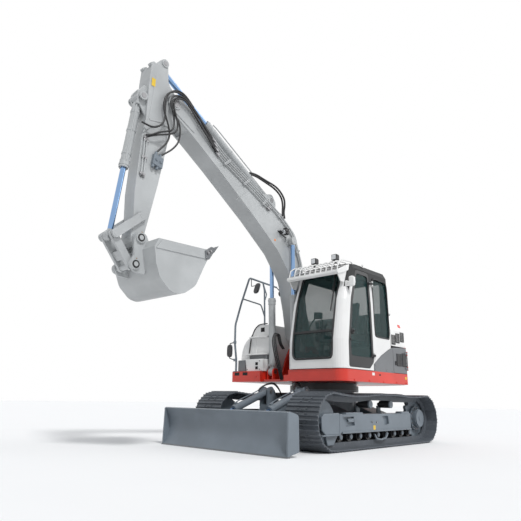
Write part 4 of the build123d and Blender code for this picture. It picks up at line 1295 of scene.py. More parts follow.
@dataclass
class House(Bench):
    """Fittings of the deck, covers, hood, tail and the right side's steps.

    Attributes:
        half: y of the left side.
    """

    half: float = 1.226

    def build(self) -> None:
        """Make the grilles, latches, louvres, labels, treads, trims and bolts."""
        self.side_covers()
        self.hood_fittings()
        self.deck_fittings()
        self.right_front()
        self.tail_fittings()

    def grille(self, x: float, z: float, y: float, width: float, rows: int, out: int) -> list[Mesh]:
        """Sloping louvre blades in a frame on a side face.

        Args:
            x: middle of the grille.
            z: its lowest blade.
            y: the face.
            width: length of a blade.
            rows: number of blades.
            out: 1 on the left face and -1 on the right.

        Returns:
            The frame and its blades.
        """
        half = width / 2
        pieces = []
        for row in range(rows):
            low = z + row * 0.022
            blade = [(y, low), (y + out * 0.012, low + 0.002), (y + out * 0.01, low + 0.008),
                     (y, low + 0.017)]
            pieces.append(self.plate(blade, crosswise, x - half, x + half, 0.0012))
        top = z + rows * 0.022
        for x0, x1, z0, z1 in ((x - half - 0.012, x - half, z - 0.012, top + 0.006),
                               (x + half, x + half + 0.012, z - 0.012, top + 0.006),
                               (x - half, x + half, z - 0.012, z - 0.002),
                               (x - half, x + half, top, top + 0.006)):
            low, high = sorted((y - out * 0.001, y + out * 0.01))
            pieces.append(self.block((x0, low, z0), (x1, high, z1), 0.002, 1))
        return pieces

    def side_covers(self) -> None:
        """Grilles, latches and bolts of the service doors and the fixed left panel."""
        for side, name in ((1, "left"), (-1, "right")):
            face = side * self.half
            grilles = self.grille(-0.575, 1.33, face, 0.14, 9, side)
            grilles += self.grille(-0.79, 1.33, face, 0.17, 10, side)
            self.finished("Service_grilles_" + name, grilles, "service_door_" + name, Slot.BLACK)
            latch = [
                self.block(tuple(map(min, (-0.47, face, 1.33), (-0.43, face + side * 0.012, 1.33))),
                           tuple(map(max, (-0.47, face, 1.4), (-0.43, face + side * 0.012, 1.4))), 0.005),
                self.disc(-0.45, 1.385, face, face + side * 0.018, 0.011, 0.002),
            ]
            self.finished("Service_latch_" + name, latch, "service_door_" + name, Slot.PLASTIC)
        rows = [(x, self.half, 1.218) for x in (-0.33, -0.12, 0.08, 0.25)] + [(0.25, self.half, 1.285)]
        bolts = [self.bolt(place, (0, 1, 0), 0.014) for place in rows]
        self.finished("Left_panel_bolts", bolts, "upper", Slot.PIN)

    def hood_fittings(self) -> None:
        """Louvres, red bands and grip of the hood."""
        louvres = []
        for x, z in profile(-468, 1750, -622, 1790, -790, 1820):
            for side in (-1, 1):
                louvres += self.grille(x, z - 0.045, side * 1.1902, 0.11, 7, side)
        self.finished("Hood_louvres", louvres, "hood", Slot.BLACK)
        bands = []
        for side in (-1, 1):
            stripe = profile(-800, 2020, -700, 2020, -690, 2080, -790, 2080)
            slope = 0.083 / 0.3

            def on_slope(x: float, z: float, depth: float, out: int = side, fall: float = slope) -> Point:
                """Place on the hood's upper side, a depth out of it."""
                return (x, out * (1.19 - (z - 1.96) * fall + depth), z)
            bands.append(self.plate(stripe, on_slope, 0.0006, 0.0022, 0.0006))
        self.finished("Hood_red_bands", bands, "hood", Slot.RED)
        grip = [self.hose(course(-1478, -100, 1780, -1520, -100, 1780, -1520, 100, 1780, -1478, 100, 1780),
                          0.01)]
        self.finished("Hood_grip", grip, "hood", Slot.BLACK)

    def deck_fittings(self) -> None:
        """Blank labels, thin sheets of painted shade in the slots, tread bars and bolts of the red deck."""
        face = self.half
        # name, x, z, half width, half height, finish and slot
        labels = (
            ("Blank_plate_front", 0.322, 1.144, 0.04, 0.022, PLATE_WHITE, Slot.WHITE),
            ("Blank_label_rear", -0.8, 1.119, 0.03, 0.022, YELLOW, Slot.WHITE),
        )
        for name, x, z, wide, tall, finish, slot in labels:
            piece = self.block((x - wide, face - 0.0004, z - tall), (x + wide, face + 0.0014, z + tall),
                               0.0006, 1)
            self.finished(name, [piece], "upper", finish, slot)
        # the slots are thin near-black sheets of painted shade
        slots = [self.block((0.085, face - 0.0002, 1.124), (0.14, face + 0.001, 1.15), 0.0005, 1)]
        for y in (-1.096, -0.892):
            slots.append(self.block((1.1638, y - 0.06, 1.12), (1.165, y + 0.06, 1.175), 0.0005, 1))
        self.finished("Deck_slot_shade", slots, "upper", SHADE, Slot.BLACK)
        tread = []
        for step in range(6):
            y = -face + 0.035 + step * 0.036
            tread.append(self.block((0.985 - 0.3, y, 1.1898), (0.985 + 0.155, y + 0.012, 1.1945), 0.002, 1))
        self.finished("Deck_tread_bars", tread, "upper", Slot.RED)
        bolts = [self.bolt((x, face, 1.03), (0, 1, 0), 0.018) for x in (0.9, 0.45, 0.0, -0.45, -0.8)]
        bolts += [self.bolt((1.164, y, 1.1), (1, 0, 0), 0.018) for y in (-1.18, -0.62)]
        self.finished("Deck_bolts", bolts, "upper", Slot.RED)

    def right_front(self) -> None:
        """Trim strips, treads, vents of near-black painted shade and the grey side panel of the right front.
        """
        trim = [
            self.hose(course(955.5, -560, 2050, 958, -730, 2050, 958, -800, 2020, 958, -872, 1960, 960, -915,
                             1870, 962, -940, 1828), 0.011),
            self.hose(course(966, -950, 1790, 972, -968, 1650, 976, -982, 1515), 0.011),
        ]
        self.finished("House_trim", trim, "upper", Slot.BLACK)
        # each vent and its slats are near-black painted shade
        vents = []
        for y, z, wide, tall, x in ((-0.668, 1.945, 0.046, 0.04, 0.9545),
                                    (-0.653, 1.322, 0.03, 0.026, 1.1199),
                                    (-0.653, 1.25, 0.03, 0.026, 1.1199)):
            vents.append(self.block((x, y - wide, z - tall), (x + 0.002, y + wide, z + tall), 0.001, 1))
            for step in range(3):
                height = z - tall + (step + 0.7) * tall * 2 / 3.4
                vents.append(self.block((x + 0.001, y - wide, height), (x + 0.008, y + wide, height + 0.006),
                                        0.001, 1))
        self.finished("House_vent_shade", vents, "upper", SHADE, Slot.BLACK)
        treads = []
        for z, x0, x1, y0 in ((1.825, 0.965, 1.012, -0.92), (1.5098, 0.975, 1.07, -0.96)):
            count = 3 if x1 - x0 < 0.06 else 5
            for step in range(count):
                x = x0 + (x1 - x0) * (step + 0.3) / count
                treads.append(self.block((x, y0 + 0.03, z), (x + 0.006, -0.57, z + 0.004), 0.0015, 1))
        self.finished("House_treads", treads, "upper", Slot.WHITE)
        panel = self.block((1.052, -1.1235, 1.205), (1.112, -1.12, 1.38), 0.003, 1)
        front = self.block((1.1195, -1.11, 1.205), (1.1225, -0.948, 1.385), 0.003, 1)
        self.finished("Side_step_panel", [panel, front], "upper", Slot.SIDE_GREY)
        bolts = [self.bolt((1.1202, y, z), (1, 0, 0), 0.016)
                 for y, z in profile(-585, 1370, -880, 1225, -585, 1225)]
        self.finished("House_bolts", bolts, "upper", Slot.PIN)

    def tail_fittings(self) -> None:
        """Bolts round the tail."""
        pieces = []
        for turn in (150, 165, 195, 210):
            angle = math.radians(turn)
            spot = (1.4985 * math.cos(angle), 1.4985 * math.sin(angle), 1.56)
            pieces.append(self.bolt(spot, (math.cos(angle), math.sin(angle), 0), 0.034))
        self.finished("Tail_bolts", pieces, "upper", Slot.RED)


@dataclass
class Cab(Bench):
    """Seals, wiper, lamps, handles and everything inside the cab.

    Attributes:
        front: height and x of the cab's front face, from the floor up.
    """

    front: tuple[Spot, ...] = profile(1200, 1235, 1650, 1225, 2300, 1105, 2862, 887, 2955, 765)

    def face(self, z: float) -> float:
        """The x of the cab's front face at a height.

        Args:
            z: the height.

        Returns:
            The x.
        """
        for (low, start), (high, end) in zip(self.front, self.front[1:]):
            if z <= high:
                return start + (end - start) * (z - low) / (high - low)
        return self.front[-1][1]

    def build(self) -> None:
        """Make the cab's fittings."""
        self.seals()
        self.wiper()
        self.guard_lamps()
        self.handles()
        self.mirror_glass()
        self.controls()

    def on_screen(self, y: float, z: float, out: float = 0.0) -> Point:
        """Place on the windscreen's plane of the cab's front."""
        return (self.face(z) + out, y, z)

    def seals(self) -> None:
        """Rubber round the windscreen, its cross bar and the rear side window's seal."""
        left, right, low, high = 1.05, 0.262, 1.352, 2.788
        rise = [low + (high - low) * step / 8 for step in range(9)]
        route = [self.on_screen(right + 0.08, low), self.on_screen(right + 0.01, low + 0.01)]
        route += [self.on_screen(right, z) for z in rise[1:]]
        route += [self.on_screen(0.5, high), self.on_screen(left - 0.01, high)]
        route += [self.on_screen(left, z) for z in reversed(rise[1:-1])]
        route += [self.on_screen(left - 0.01, low + 0.01), self.on_screen(left - 0.08, low),
                  self.on_screen(0.6, low), self.on_screen(right + 0.08, low)]
        seal = self.hose(route, 0.016)
        bar = self.block((-0.03, 0.27, -0.02), (0.004, 1.045, 0.022), 0.006)
        tilt = math.atan2(self.face(1.9) - self.face(1.7), 0.2)
        bar.data.transform(Matrix.Translation((self.face(1.785) - 0.004, 0,
                                               1.785)) @ Matrix.Rotation(tilt, 4, "Y"))
        corners = profile(-285, 1765, 215, 1765, 215, 2775, -285, 2775)
        points = []
        for (x, z), (nx, nz) in zip(corners, corners[1:] + corners[:1]):
            points += [(x + (nx - x) * part, z + (nz - z) * part) for part in (0.08, 0.35, 0.65, 0.92)]
        side = self.hose([(x, 1.226 - max(0.0, z - 1.65) * 0.024, z) for x, z in points + points[:1]], 0.012)
        self.finished("Cab_seals", [seal, bar, side], "upper", Slot.PLASTIC)

    def wiper(self) -> None:
        """Parked wiper on the left of the windscreen."""
        pivot = self.on_screen(0.965, 2.72, 0.03)
        elbow = self.on_screen(0.975, 2.42, 0.04)
        tip = self.on_screen(0.985, 2.11, 0.022)
        pieces = [
            self.rod(self.on_screen(0.965, 2.72, -0.01), pivot, 0.02, 0.003),
            self.hose([pivot, self.on_screen(0.968, 2.6, 0.045), elbow], 0.007),
            self.rod(self.on_screen(0.972, 2.62, 0.014), tip, 0.008, 0.002, 8),
            self.rod(self.on_screen(0.968, 2.62, 0.008), self.on_screen(0.981, 2.11, 0.008), 0.005, 0.001, 8),
        ]
        self.finished("Wiper", pieces, "upper", Slot.PLASTIC)
        bolts = [self.bolt((0.975, 1.085, 2.56), (0.94, 0, 0.34), 0.018),
                 self.bolt((0.998, 1.1, 2.5), (0.94, 0, 0.34), 0.018)]
        self.finished("Pillar_bolts", bolts, "upper", Slot.WHITE)

    def guard_lamps(self) -> None:
        """Two work lamps above the visor, and strips of painted shade for the vents between its bars."""
        housings, lenses = [], []
        for y in (0.56, 0.985):
            x, z = 1.005, 3.02
            housings.append(self.plate(around(y, z, 0.052), crosswise, x - 0.045, x + 0.04, 0.012))
            housings.append(self.rod((x, y, z - 0.09), (x, y, z - 0.045), 0.01, 0.002, 10))
            housings.append(self.block((x - 0.035, y - 0.03, z - 0.1), (x + 0.035, y + 0.03, z - 0.085),
                                       0.004))
            for step in range(4):
                fin = y - 0.042 + step * 0.028
                housings.append(self.block((x - 0.06, fin - 0.003, z - 0.04),
                                           (x - 0.04, fin + 0.003, z + 0.04), 0.001, 1))
            lenses.append(self.plate(around(y, z, 0.04), crosswise, x + 0.037, x + 0.044, 0.003))
        self.finished("Work_lamp_housings", housings, "upper", Slot.BLACK)
        self.finished("Work_lamp_lenses", lenses, "upper", LENS, Slot.GLASS)
        # the vents are near-black strips of painted shade between the guard's bars
        vents = []
        for index in range(9):
            y = 0.215 + 0.11 * index
            strip = profile(1205, 2752.5, 960, 2862, 960, 2866, 1205, 2756.5)
            vents.append(self.plate(strip, sideways, y - 0.036, y + 0.036, 0.001))
        self.finished("Visor_vent_shade", vents, "upper", SHADE, Slot.BLACK)

    def handles(self) -> None:
        """Door handle with its lock, the rear window's knob and the roof's bracket."""
        pull = [
            self.block((0.86, 1.205, 1.745), (0.945, 1.232, 1.825), 0.008),
            self.hose(course(935, 1226, 1765, 935, 1262, 1770, 885, 1262, 1795, 880, 1226, 1805), 0.008),
            self.disc(0.966, 1.653, 1.212, 1.236, 0.016, 0.003),
        ]
        self.finished("Door_handle", pull, "cab_door", Slot.PLASTIC)
        knob = [self.disc(-0.318, 2.206, 1.205, 1.238, 0.018, 0.004)]
        knob.append(self.block((0.4, 1.15, 2.93), (0.445, 1.176, 2.985), 0.005))
        self.finished("Cab_knob_and_bracket", knob, "upper", Slot.WHITE)

    def mirror_glass(self) -> None:
        """Left mirror on the front pillar, and glass in all mirror shells."""
        shell = profile(1236, 2490, 1330, 2500, 1345, 2560, 1335, 2650, 1290, 2672, 1236, 2660)
        pieces = [
            self.plate(shell, crosswise, 0.955, 1.01, 0.02),
            self.hose(course(950, 1170, 2560, 975, 1215, 2570, 980, 1250, 2575), 0.011),
            self.block((0.915, 1.15, 2.515), (0.985, 1.19, 2.605), 0.008),
        ]
        self.finished("Left_mirror", pieces, "upper", Slot.WHITE)
        faces = [
            self.plate(profile(1246, 2505, 1326, 2512, 1332, 2648, 1246, 2650), crosswise, 0.951, 0.9552,
                       0.002),
            self.plate(profile(-1268, 1480, -1226, 1465, -1184, 1480, -1178, 1565, -1184, 1650, -1226, 1665,
                               -1268, 1650, -1274, 1565), crosswise, 1.224, 1.228, 0.001),
        ]
        self.finished("Mirror_glass", faces, "upper", MIRROR, Slot.CHROME)

    def controls(self) -> None:
        """Consoles, levers, pedals, monitor and floor mat inside the cab."""
        black = []
        for y0, y1 in ((0.36, 0.455), (1.0, 1.09)):
            outline = profile(300, 1660, 720, 1680, 780, 1760, 760, 1800, 700, 1815, 300, 1790)
            black.append(self.plate(outline, sideways, y0, y1, 0.015))
            middle = (y0 + y1) / 2
            black.append(self.hose([(0.715, middle, 1.805), (0.715, middle, 1.86), (0.73, middle, 1.93)],
                                   0.01))
            black.append(self.rod((0.728, middle, 1.915), (0.745, middle, 2.01), 0.022, 0.008, 14))
            black.append(self.rod((0.715, middle, 1.8), (0.716, middle, 1.85), 0.034, 0.012, 14))
        for y in (0.61, 0.7):
            black.append(self.hose([(0.96, y, 1.252), (0.98, y, 1.55), (0.93, y, 1.88), (0.9, y, 1.9)],
                                   0.009))
            black.append(self.rod((0.925, y, 1.885), (0.88, y, 1.93), 0.016, 0.005, 12))
            black.append(self.block((0.96, y - 0.04, 1.252), (1.06, y + 0.04, 1.275), 0.006))
        black.append(self.plate(profile(350, 1252, 1130, 1252, 1130, 1262, 350, 1262), sideways, 0.23, 1.12,
                                0.003))
        black.append(self.plate(profile(1080, 1262, 1145, 1262, 1130, 1480, 1095, 1480), sideways, 0.24, 0.4,
                                0.01))
        black.append(self.hose(course(960, 300, 1480, 960, 340, 1900, 960, 520, 2030), 0.012))
        black.append(self.plate(profile(500, 2040, 660, 2020, 665, 2130, 505, 2150), crosswise, 0.93, 0.965,
                                0.008))
        self.finished("Cab_controls", black, "upper", Slot.PLASTIC)
        screen = self.plate(profile(520, 2055, 645, 2040, 648, 2118, 523, 2134), crosswise, 0.926, 0.9305,
                            0.001)
        self.finished("Monitor_screen", [screen], "upper", SCREEN, Slot.PLASTIC)


@dataclass
class Rails(Bench):
    """Rail frame, mirrors, head guard and the tiered cover of the right side.

    Attributes:
        y: place of the rail.
        deck: height of the deck.
    """

    y: float = -1.15
    deck: float = 1.19

    def build(self) -> None:
        """Make the rail, the mirrors, the guard over the windscreen and the cover."""
        self.handrail()
        self.mirrors()
        self.head_guard()
        self.house()

    def tube(self, points: Sequence[Sequence[float]], radius: float, ease: float = 0.1) -> Mesh:
        """Bent steel tube with straight runs and eased corners.

        Args:
            points: its corners.
            radius: its radius.
            ease: how far before and after a corner the bend starts.

        Returns:
            The mesh object.
        """
        corners = [Vector(point) for point in points]
        route = [corners[0]]
        for before, corner, after in zip(corners, corners[1:], corners[2:]):
            back = min(ease, (before - corner).length * 0.45)
            forth = min(ease, (after - corner).length * 0.45)
            route += [corner + (before - corner).normalized() * back, corner,
                      corner + (after - corner).normalized() * forth]
        return self.hose(route + [corners[-1]], radius)

    def handrail(self) -> None:
        """Rail frame beside the right cover, with a rear post and a crossbar."""
        y = self.y
        front = [(1.14, y, self.deck), (1.14, y, 1.4), (1.188, y, 1.7), (1.19, y, 2.045), (1.045, y, 2.484),
                 (0.838, y, 3.014), (0.026, y, 2.962)]
        tubes = [
            self.tube(front, 0.019),
            self.tube([(0.445, y, 2.99), (0.396, y, 2.847), (0.376, y, 2.209), (0.376, y, 1.95)], 0.017),
            self.tube([(1.02, y, 2.569), (0.493, y, 2.529), (0.378, y, 2.3)], 0.014),
            self.tube([(0.44, y, 2.98), (0.33, y, 2.76), (0.376, y, 2.64)], 0.011, 0.04),
        ]
        feet = [self.block((1.105, y - 0.045, self.deck), (1.175, y + 0.045, self.deck + 0.012), 0.004),
                self.block((0.35, y - 0.03, 1.93), (0.402, y + 0.04, 2.0), 0.006)]
        for x, z in ((1.189, 1.722), (1.176, 1.4)):
            feet.append(self.rod((x, y, z - 0.02), (x, y, z + 0.02), 0.026, 0.003, 20))
        rail = self.finished("Rail_frame", tubes + feet, "upper", Slot.SLATE)
        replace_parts(rail, "handrail")

    def mirrors(self) -> None:
        """Oval mirrors on the rail and a round one at its rear end."""
        y = self.y
        arms = [
            self.tube([(1.189, y, 1.722), (1.24, -1.226, 1.7), (1.24, -1.226, 1.43), (1.176, y, 1.4)], 0.009,
                      0.035),
            self.tube([(0.789, y, 3.011), (0.779, y, 2.853), (0.66, y, 2.893)], 0.008, 0.03),
            self.tube([(0.026, y, 2.962), (0.075, -1.04, 2.88), (0.115, -0.932, 2.8)], 0.01, 0.03),
        ]
        self.finished("Mirror_arms", arms, "upper", Slot.BLACK)
        oval = [(math.cos(math.tau * turn / 20), math.sin(math.tau * turn / 20)) for turn in range(20)]

        def rounded_oval(wide: float, tall: float) -> list[Spot]:
            """Outline between an oval and a rectangle."""
            return [(wide * math.copysign(abs(c) ** 0.6, c), tall * math.copysign(abs(s) ** 0.6, s))
                    for c, s in oval]
        shells, rims, glasses = [], [], []
        upright = rounded_oval(0.06, 0.112)
        tilted = rounded_oval(0.064, 0.112)

        def on_rail(u: float, v: float, depth: float) -> Point:
            """Place on the upright mirror."""
            return (1.262 - depth, -1.226 + u, 1.565 + v)

        def under_bar(u: float, v: float, depth: float) -> Point:
            """Place on the tilted mirror under the top bar."""
            return (0.637 - depth * 0.94 + v * 0.34, -1.15 + u, 2.852 - depth * 0.34 + v * -0.94)
        for place, shape, small in ((on_rail, upright, 0.9), (under_bar, tilted, 0.9)):
            shells.append(self.plate(shape, place, 0.0, 0.034, 0.01))
            inner = [(u * small, v * small) for u, v in shape]
            glasses.append(self.plate(inner, place, 0.03, 0.036, 0.001))
            rim = [place(u * 1.01, v * 1.01, 0.03) for u, v in shape + shape[:1]]
            rims.append(self.hose(rim, 0.005, 4))
        middle, facing = Vector((0.112, -0.93, 2.79)), Vector((0.93, 0.28, -0.19)).normalized()
        shells.append(self.rod(middle - facing * 0.012, middle + facing * 0.012, 0.066, 0.005, 28))
        glasses.append(self.rod(middle - facing * 0.016, middle - facing * 0.01, 0.056, 0.002, 28))
        self.finished("Mirror_shells", shells, "upper", Slot.BLACK)
        self.finished("Mirror_rims", rims, "upper", Slot.PALE)
        self.finished("Rail_mirror_glass", glasses, "upper", MIRROR, Slot.CHROME)

    def head_guard(self) -> None:
        """Visor over the windscreen with bent bars up to the roof's front edge."""
        lip = profile(1228, 2745, 1236, 2706, 1196, 2676, 950, 2772, 905, 2800, 880, 2900)
        visor = [self.plate(lip, sideways, 0.128, 1.182, 0.008)]
        for y in (0.156, 1.15):
            bracket = profile(1190, 2690, 1110, 2575, 1010, 2575, 930, 2790)
            visor.append(self.plate(bracket, sideways, y - 0.01, y + 0.01, 0.003))
        self.finished("Visor", visor, "upper", Slot.WHITE)
        bars = []
        for index in range(10):
            y = 0.16 + 0.11 * index
            bars.append(self.tube([(1.205, y, 2.722), (1.165, y, 2.875), (1.05, y, 2.948), (0.79, y, 2.966),
                                   (0.73, y, 2.94)], 0.011, 0.05))
        self.finished("Guard_bars", bars, "upper", Slot.WHITE)

    def house(self) -> None:
        """Tiered cover with two treads and a bulging outer side."""
        bottom = self.deck
        shape = [(-0.505, bottom), (-0.505, 2.03), (-0.74, 2.034), (-0.82, 2.01), (-0.885, 1.955),
                 (-0.935, 1.87), (-0.962, 1.74), (-0.985, 1.5), (-0.96, 1.4), (-0.93, 1.36), (-0.905, bottom)]
        outer = [(-0.79, bottom), (-1.226, bottom), (-1.226, 1.4), (-1.218, 1.54), (-1.196, 1.69),
                 (-1.15, 1.82), (-1.08, 1.92), (-0.99, 1.99), (-0.88, 2.026), (-0.79, 2.03)]
        pieces = [
            self.plate(shape, crosswise, -0.368, 0.955, 0.012),
            self.plate(outer, crosswise, -0.368, 0.7, 0.014),
            self.plate([(y * 0.99 - 0.008, z if z < 1.3 else 1.2 + (z - 1.2) * 0.93) for y, z in outer],
                       crosswise, 0.68, 0.85, 0.03),
            self.plate([(y * 0.975 - 0.02, z if z < 1.3 else 1.2 + (z - 1.2) * 0.8) for y, z in outer],
                       crosswise, 0.82, 0.96, 0.03),
            self.plate([(-0.505, bottom), (-0.505, 1.405), (-0.938, 1.405), (-0.905, bottom)], crosswise,
                       0.94, 1.12, 0.012),
            self.plate(profile(-505, 1482, -505, 1510, -985, 1510, -985, 1482), crosswise, 0.93, 1.075,
                       0.008),
            self.plate(profile(-505, 1797, -505, 1825, -950, 1825, -955, 1797), crosswise, 0.93, 1.015,
                       0.008),
        ]
        cover = self.finished("Right_cover", pieces, "upper", Slot.WHITE)
        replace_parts(cover, "right_house")
        box = self.block((0.94, -1.122, bottom), (1.12, -0.935, 1.395), 0.012, 3)
        self.finished("Corner_box", [box], "upper", Slot.SIDE_GREY)
        recess = self.plate(profile(-512, 1408, -512, 1480, -960, 1480, -950, 1408), crosswise, 0.95, 0.995,
                            0.006)
        self.finished("Cover_recess", [recess], "upper", Slot.SIDE_GREY)


@dataclass
class FrontEnd(Bench):
    """Pipes, hoses, caps, plates and lamp of the boom, the arm and the bucket.

    Attributes:
        near: y of the boom's left face.
        arm_near: y of the arm's left face.
        centre: y of the middle of boom, arm and bucket.
    """

    near: float = 0.0
    arm_near: float = -0.048
    centre: float = -0.17

    def build(self) -> None:
        """Make the fittings from the boom's foot to the bucket."""
        self.arm_shell()
        self.boom_pipes()
        self.boom_plates()
        self.boom_lamp()
        self.arm_pipes()
        self.arm_bosses()
        self.tip_hoses()
        self.cylinder_hoses()
        self.cylinder_bands()
        self.foot_hoses()
        self.bucket_fittings()

    def arm_shell(self) -> None:
        """Welded arm: box, head plates that end in a step, cylinder cheeks, lip and bosses."""
        half, inner, middle = 0.138, 0.122, self.centre
        box = profile(-250, 150, -300, 230, -330, 320, -372, 530, -140, 502, 172, 444, 512, 377, 821, 348,
                      1670, 222, 2060, 125, 2300, 95, 2365, 66, 2395, 0, 2365, -66, 2300, -95, 1388, -100,
                      625, -75, 200, -122, 120, -134, 40, -136, -90, -100)
        head = profile(-250, 150, -326, 213, -372, 260, -385, 534, -140, 502, 172, 444, 512, 377, 765, 356,
                       690, 315, 600, 262, 515, 175, 440, 85, 425, 0, 440, -96, 200, -124, 120, -136, 40,
                       -138, -90, -102)
        cheek = profile(-155, 150, -526, 262, -590, 285, -630, 315, -636, 345, -600, 385, -540, 425, -434,
                        480, -381, 524, -250, 490)
        lip = profile(-422, 345, -422, 470, -368, 518, -368, 542, -392, 562, -450, 515, -450, 332)
        ear = profile(0, 450, 0, 530, 110, 578, 160, 592, 250, 588, 300, 555, 480, 370)
        panel = profile(-300, 425, -318, 315, -230, 215, 60, 40, 420, 115, 445, 150, 515, 310, 490, 340)
        pieces = [self.plate(box, ARM.at, middle - inner, middle + inner, 0.008)]
        for side in (-1, 1):
            # outline, inner and outer distance from the arm's middle, rounding
            for shape, low, high, radius in (
                (head, 0.11, half, 0.006),
                (cheek, half - 0.028, half + 0.002, 0.006),
                (lip, 0.062, half, 0.005),
                (ear, 0.066, 0.094, 0.005),
                (panel, half - 0.004, half + 0.006, 0.004),
            ):
                pieces.append(self.plate(shape, ARM.at, middle + side * low, middle + side * high, radius))
            for along, across, radius, out in ((0.0, 0.0, 0.145, half + 0.0015), (1.966, 0.031, 0.07, half),
                                               (2.3, 0.0, 0.074, 0.164)):
                start, end = ARM.at(along, across, middle), ARM.at(along, across, middle + side * out)
                pieces.append(self.rod(start, end, radius, 0.004, 40))
        shell = self.finished("Arm_shell", pieces, "arm", Slot.PALE)
        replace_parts(shell, "arm")

    def pipe_course(self, drop: float, start: float, end: float) -> list[Spot]:
        """Line of a pipe below the boom's top edge with eased bends.

        Args:
            drop: distance below the edge.
            start: where the pipe starts along the boom.
            end: where it ends.

        Returns:
            Points along and across the boom.
        """
        edge = profile(3685, 509, 2845, 876, 2272, 1085, 1850, 1160, 1330, 960)
        route = [(start, 0.509 - (start - 3.685) * 0.29 - drop)]
        slope, anchor = (0.69, (1.33, 0.96)) if end < 1.3 else (-0.365, (2.845, 0.876))
        aims = [(along, across - drop, (0.12, 0.88)) for along, across in edge if along > end + 0.06]
        aims.append((end, anchor[1] + (end - anchor[0]) * slope - drop, (0.12,)))
        for along, across, parts in aims:
            last = route[-1]
            route += [(last[0] + (along - last[0]) * part, last[1] + (across - last[1]) * part)
                      for part in parts]
        return route + [aims[-1][:2]]

    def boom_pipes(self) -> None:
        """Four steel pipes below the boom's top edge in bolted clamps."""
        pipes, clamps, bolts, nuts = [], [], [], []
        centre = self.near + 0.021
        for row in course(30, 4060, 900, 77, 3990, 900, 124, 3920, 2560, 171, 3850, 2560):
            line = [BOOM.at(*point, centre) for point in self.pipe_course(*row)]
            pipes.append(self.hose(line, 0.0115))
            for end, inner in ((line[0], line[1]), (line[-1], line[-2])):
                step = (Vector(inner) - Vector(end)).normalized()
                nuts.append(self.rod(end, Vector(end) + step * 0.046, 0.021, 0.003, 6))
                nuts.append(self.rod(Vector(end) - step * 0.03, end, 0.017, 0.002, 14))
        for along, across in profile(3640, 528, 3180, 730, 2700, 930, 2330, 1062, 1560, 1054, 1080, 785):
            width, count = (0.196, 5) if along > 2.5 else (0.098, 3)
            top = across - 0.014
            corners = [(along - 0.022, top), (along + 0.022, top), (along + 0.022, top - width),
                       (along - 0.022, top - width)]
            clamps.append(self.plate(corners, BOOM.at, self.near - 0.001, self.near + 0.038, 0.004))
            for index in range(count):
                down = top - width * index / (count - 1) * 0.92 - width * 0.04
                bolts.append(self.bolt(BOOM.at(along, down, self.near + 0.038), (0, 1, 0), 0.013))
        self.finished("Boom_pipes", pipes, "boom", Slot.PALE)
        self.finished("Boom_pipe_clamps", clamps, "boom", Slot.PALE)
        self.finished("Boom_pipe_nuts", nuts + bolts, "boom", Slot.PIN)

    def boom_plates(self) -> None:
        """Doubler plates at the boom's tip, bosses at the cylinder eyes and the tip pin's caps."""
        plates, caps = [], []
        tip = profile(4300, 60, 4640, -70, 4760, -115, 4870, -115, 4935, -30, 4945, 40, 4900, 110, 4850, 150,
                      4560, 285, 4400, 225)
        (x, z), eye = BOOM.toward, BOOM_CYLINDER.toward
        for side in (-1, 1):
            face = self.centre + side * 0.17
            plates.append(self.plate(tip, BOOM.at, face - side * 0.001, face + side * 0.01, 0.004))
            plates.append(self.disc(x, z, face, face + side * 0.02, 0.084, 0.005, 36))
            plates.append(self.disc(*eye, face, face + side * 0.01, 0.096, 0.005, 36))
            caps.append(self.disc(x, z, face + side * 0.02, face + side * (0.02 + 0.006), 0.058, 0.006, 32))
            for turn in range(3):
                angle = math.tau * turn / 3 + 0.5
                spot = (x + 0.036 * math.cos(angle), face + side * (0.02 + 0.005),
                        z + 0.036 * math.sin(angle))
                caps.append(self.bolt(spot, (0, side, 0), 0.014))
        self.finished("Boom_side_plates", plates, "boom", Slot.PALE)
        self.finished("Boom_pin_caps", caps, "boom", Slot.PIN)
        weld = [BOOM.at(along, across, self.near + 0.001)
                for along, across in profile(3050, 200, 3050, 600, 3030, 760)]
        self.finished("Boom_weld", [self.hose(weld, 0.0035, 4)], "boom", Slot.PALE)
        mark = self.disc(1.406, 3.428, self.near - 0.0005, self.near + 0.0015, 0.02, 0.001, 18)
        self.finished("Boom_orange_mark", [mark], "boom", ORANGE, Slot.RED)

    def boom_lamp(self) -> None:
        """Work lamp on its bracket at the boom's left side."""
        near = self.near
        body = profile(1150, 3560, 1240, 3575, 1262, 3640, 1215, 3672, 1140, 3640)
        pieces = [
            self.plate(body, sideways, near + 0.03, near + 0.118, 0.014),
            self.plate(profile(1330, 3600, 1345, 3628, 1100, 3548, 1095, 3520), sideways, near - 0.001,
                       near + 0.008, 0.002),
            self.plate(profile(1300, 3592, 1315, 3620, 1250, 3600, 1240, 3575), sideways, near + 0.006,
                       near + 0.06, 0.002),
            self.disc(1.205, 3.615, near + 0.118, near + 0.128, 0.012, 0.003, 8),
        ]
        for step in range(4):
            x = 1.15 + step * 0.022
            pieces.append(self.block((x, near + 0.036, 3.64 + step * 0.01),
                                     (x + 0.006, near + 0.112, 3.672 + step * 0.006), 0.001, 1))
        self.finished("Boom_lamp", pieces, "boom", Slot.BLACK)
        lens = self.plate(profile(1246, 3566, 1252, 3566, 1272, 3632, 1266, 3634), sideways, near + 0.04,
                          near + 0.108, 0.001)
        self.finished("Boom_lamp_lens", [lens], "boom", LENS, Slot.GLASS)

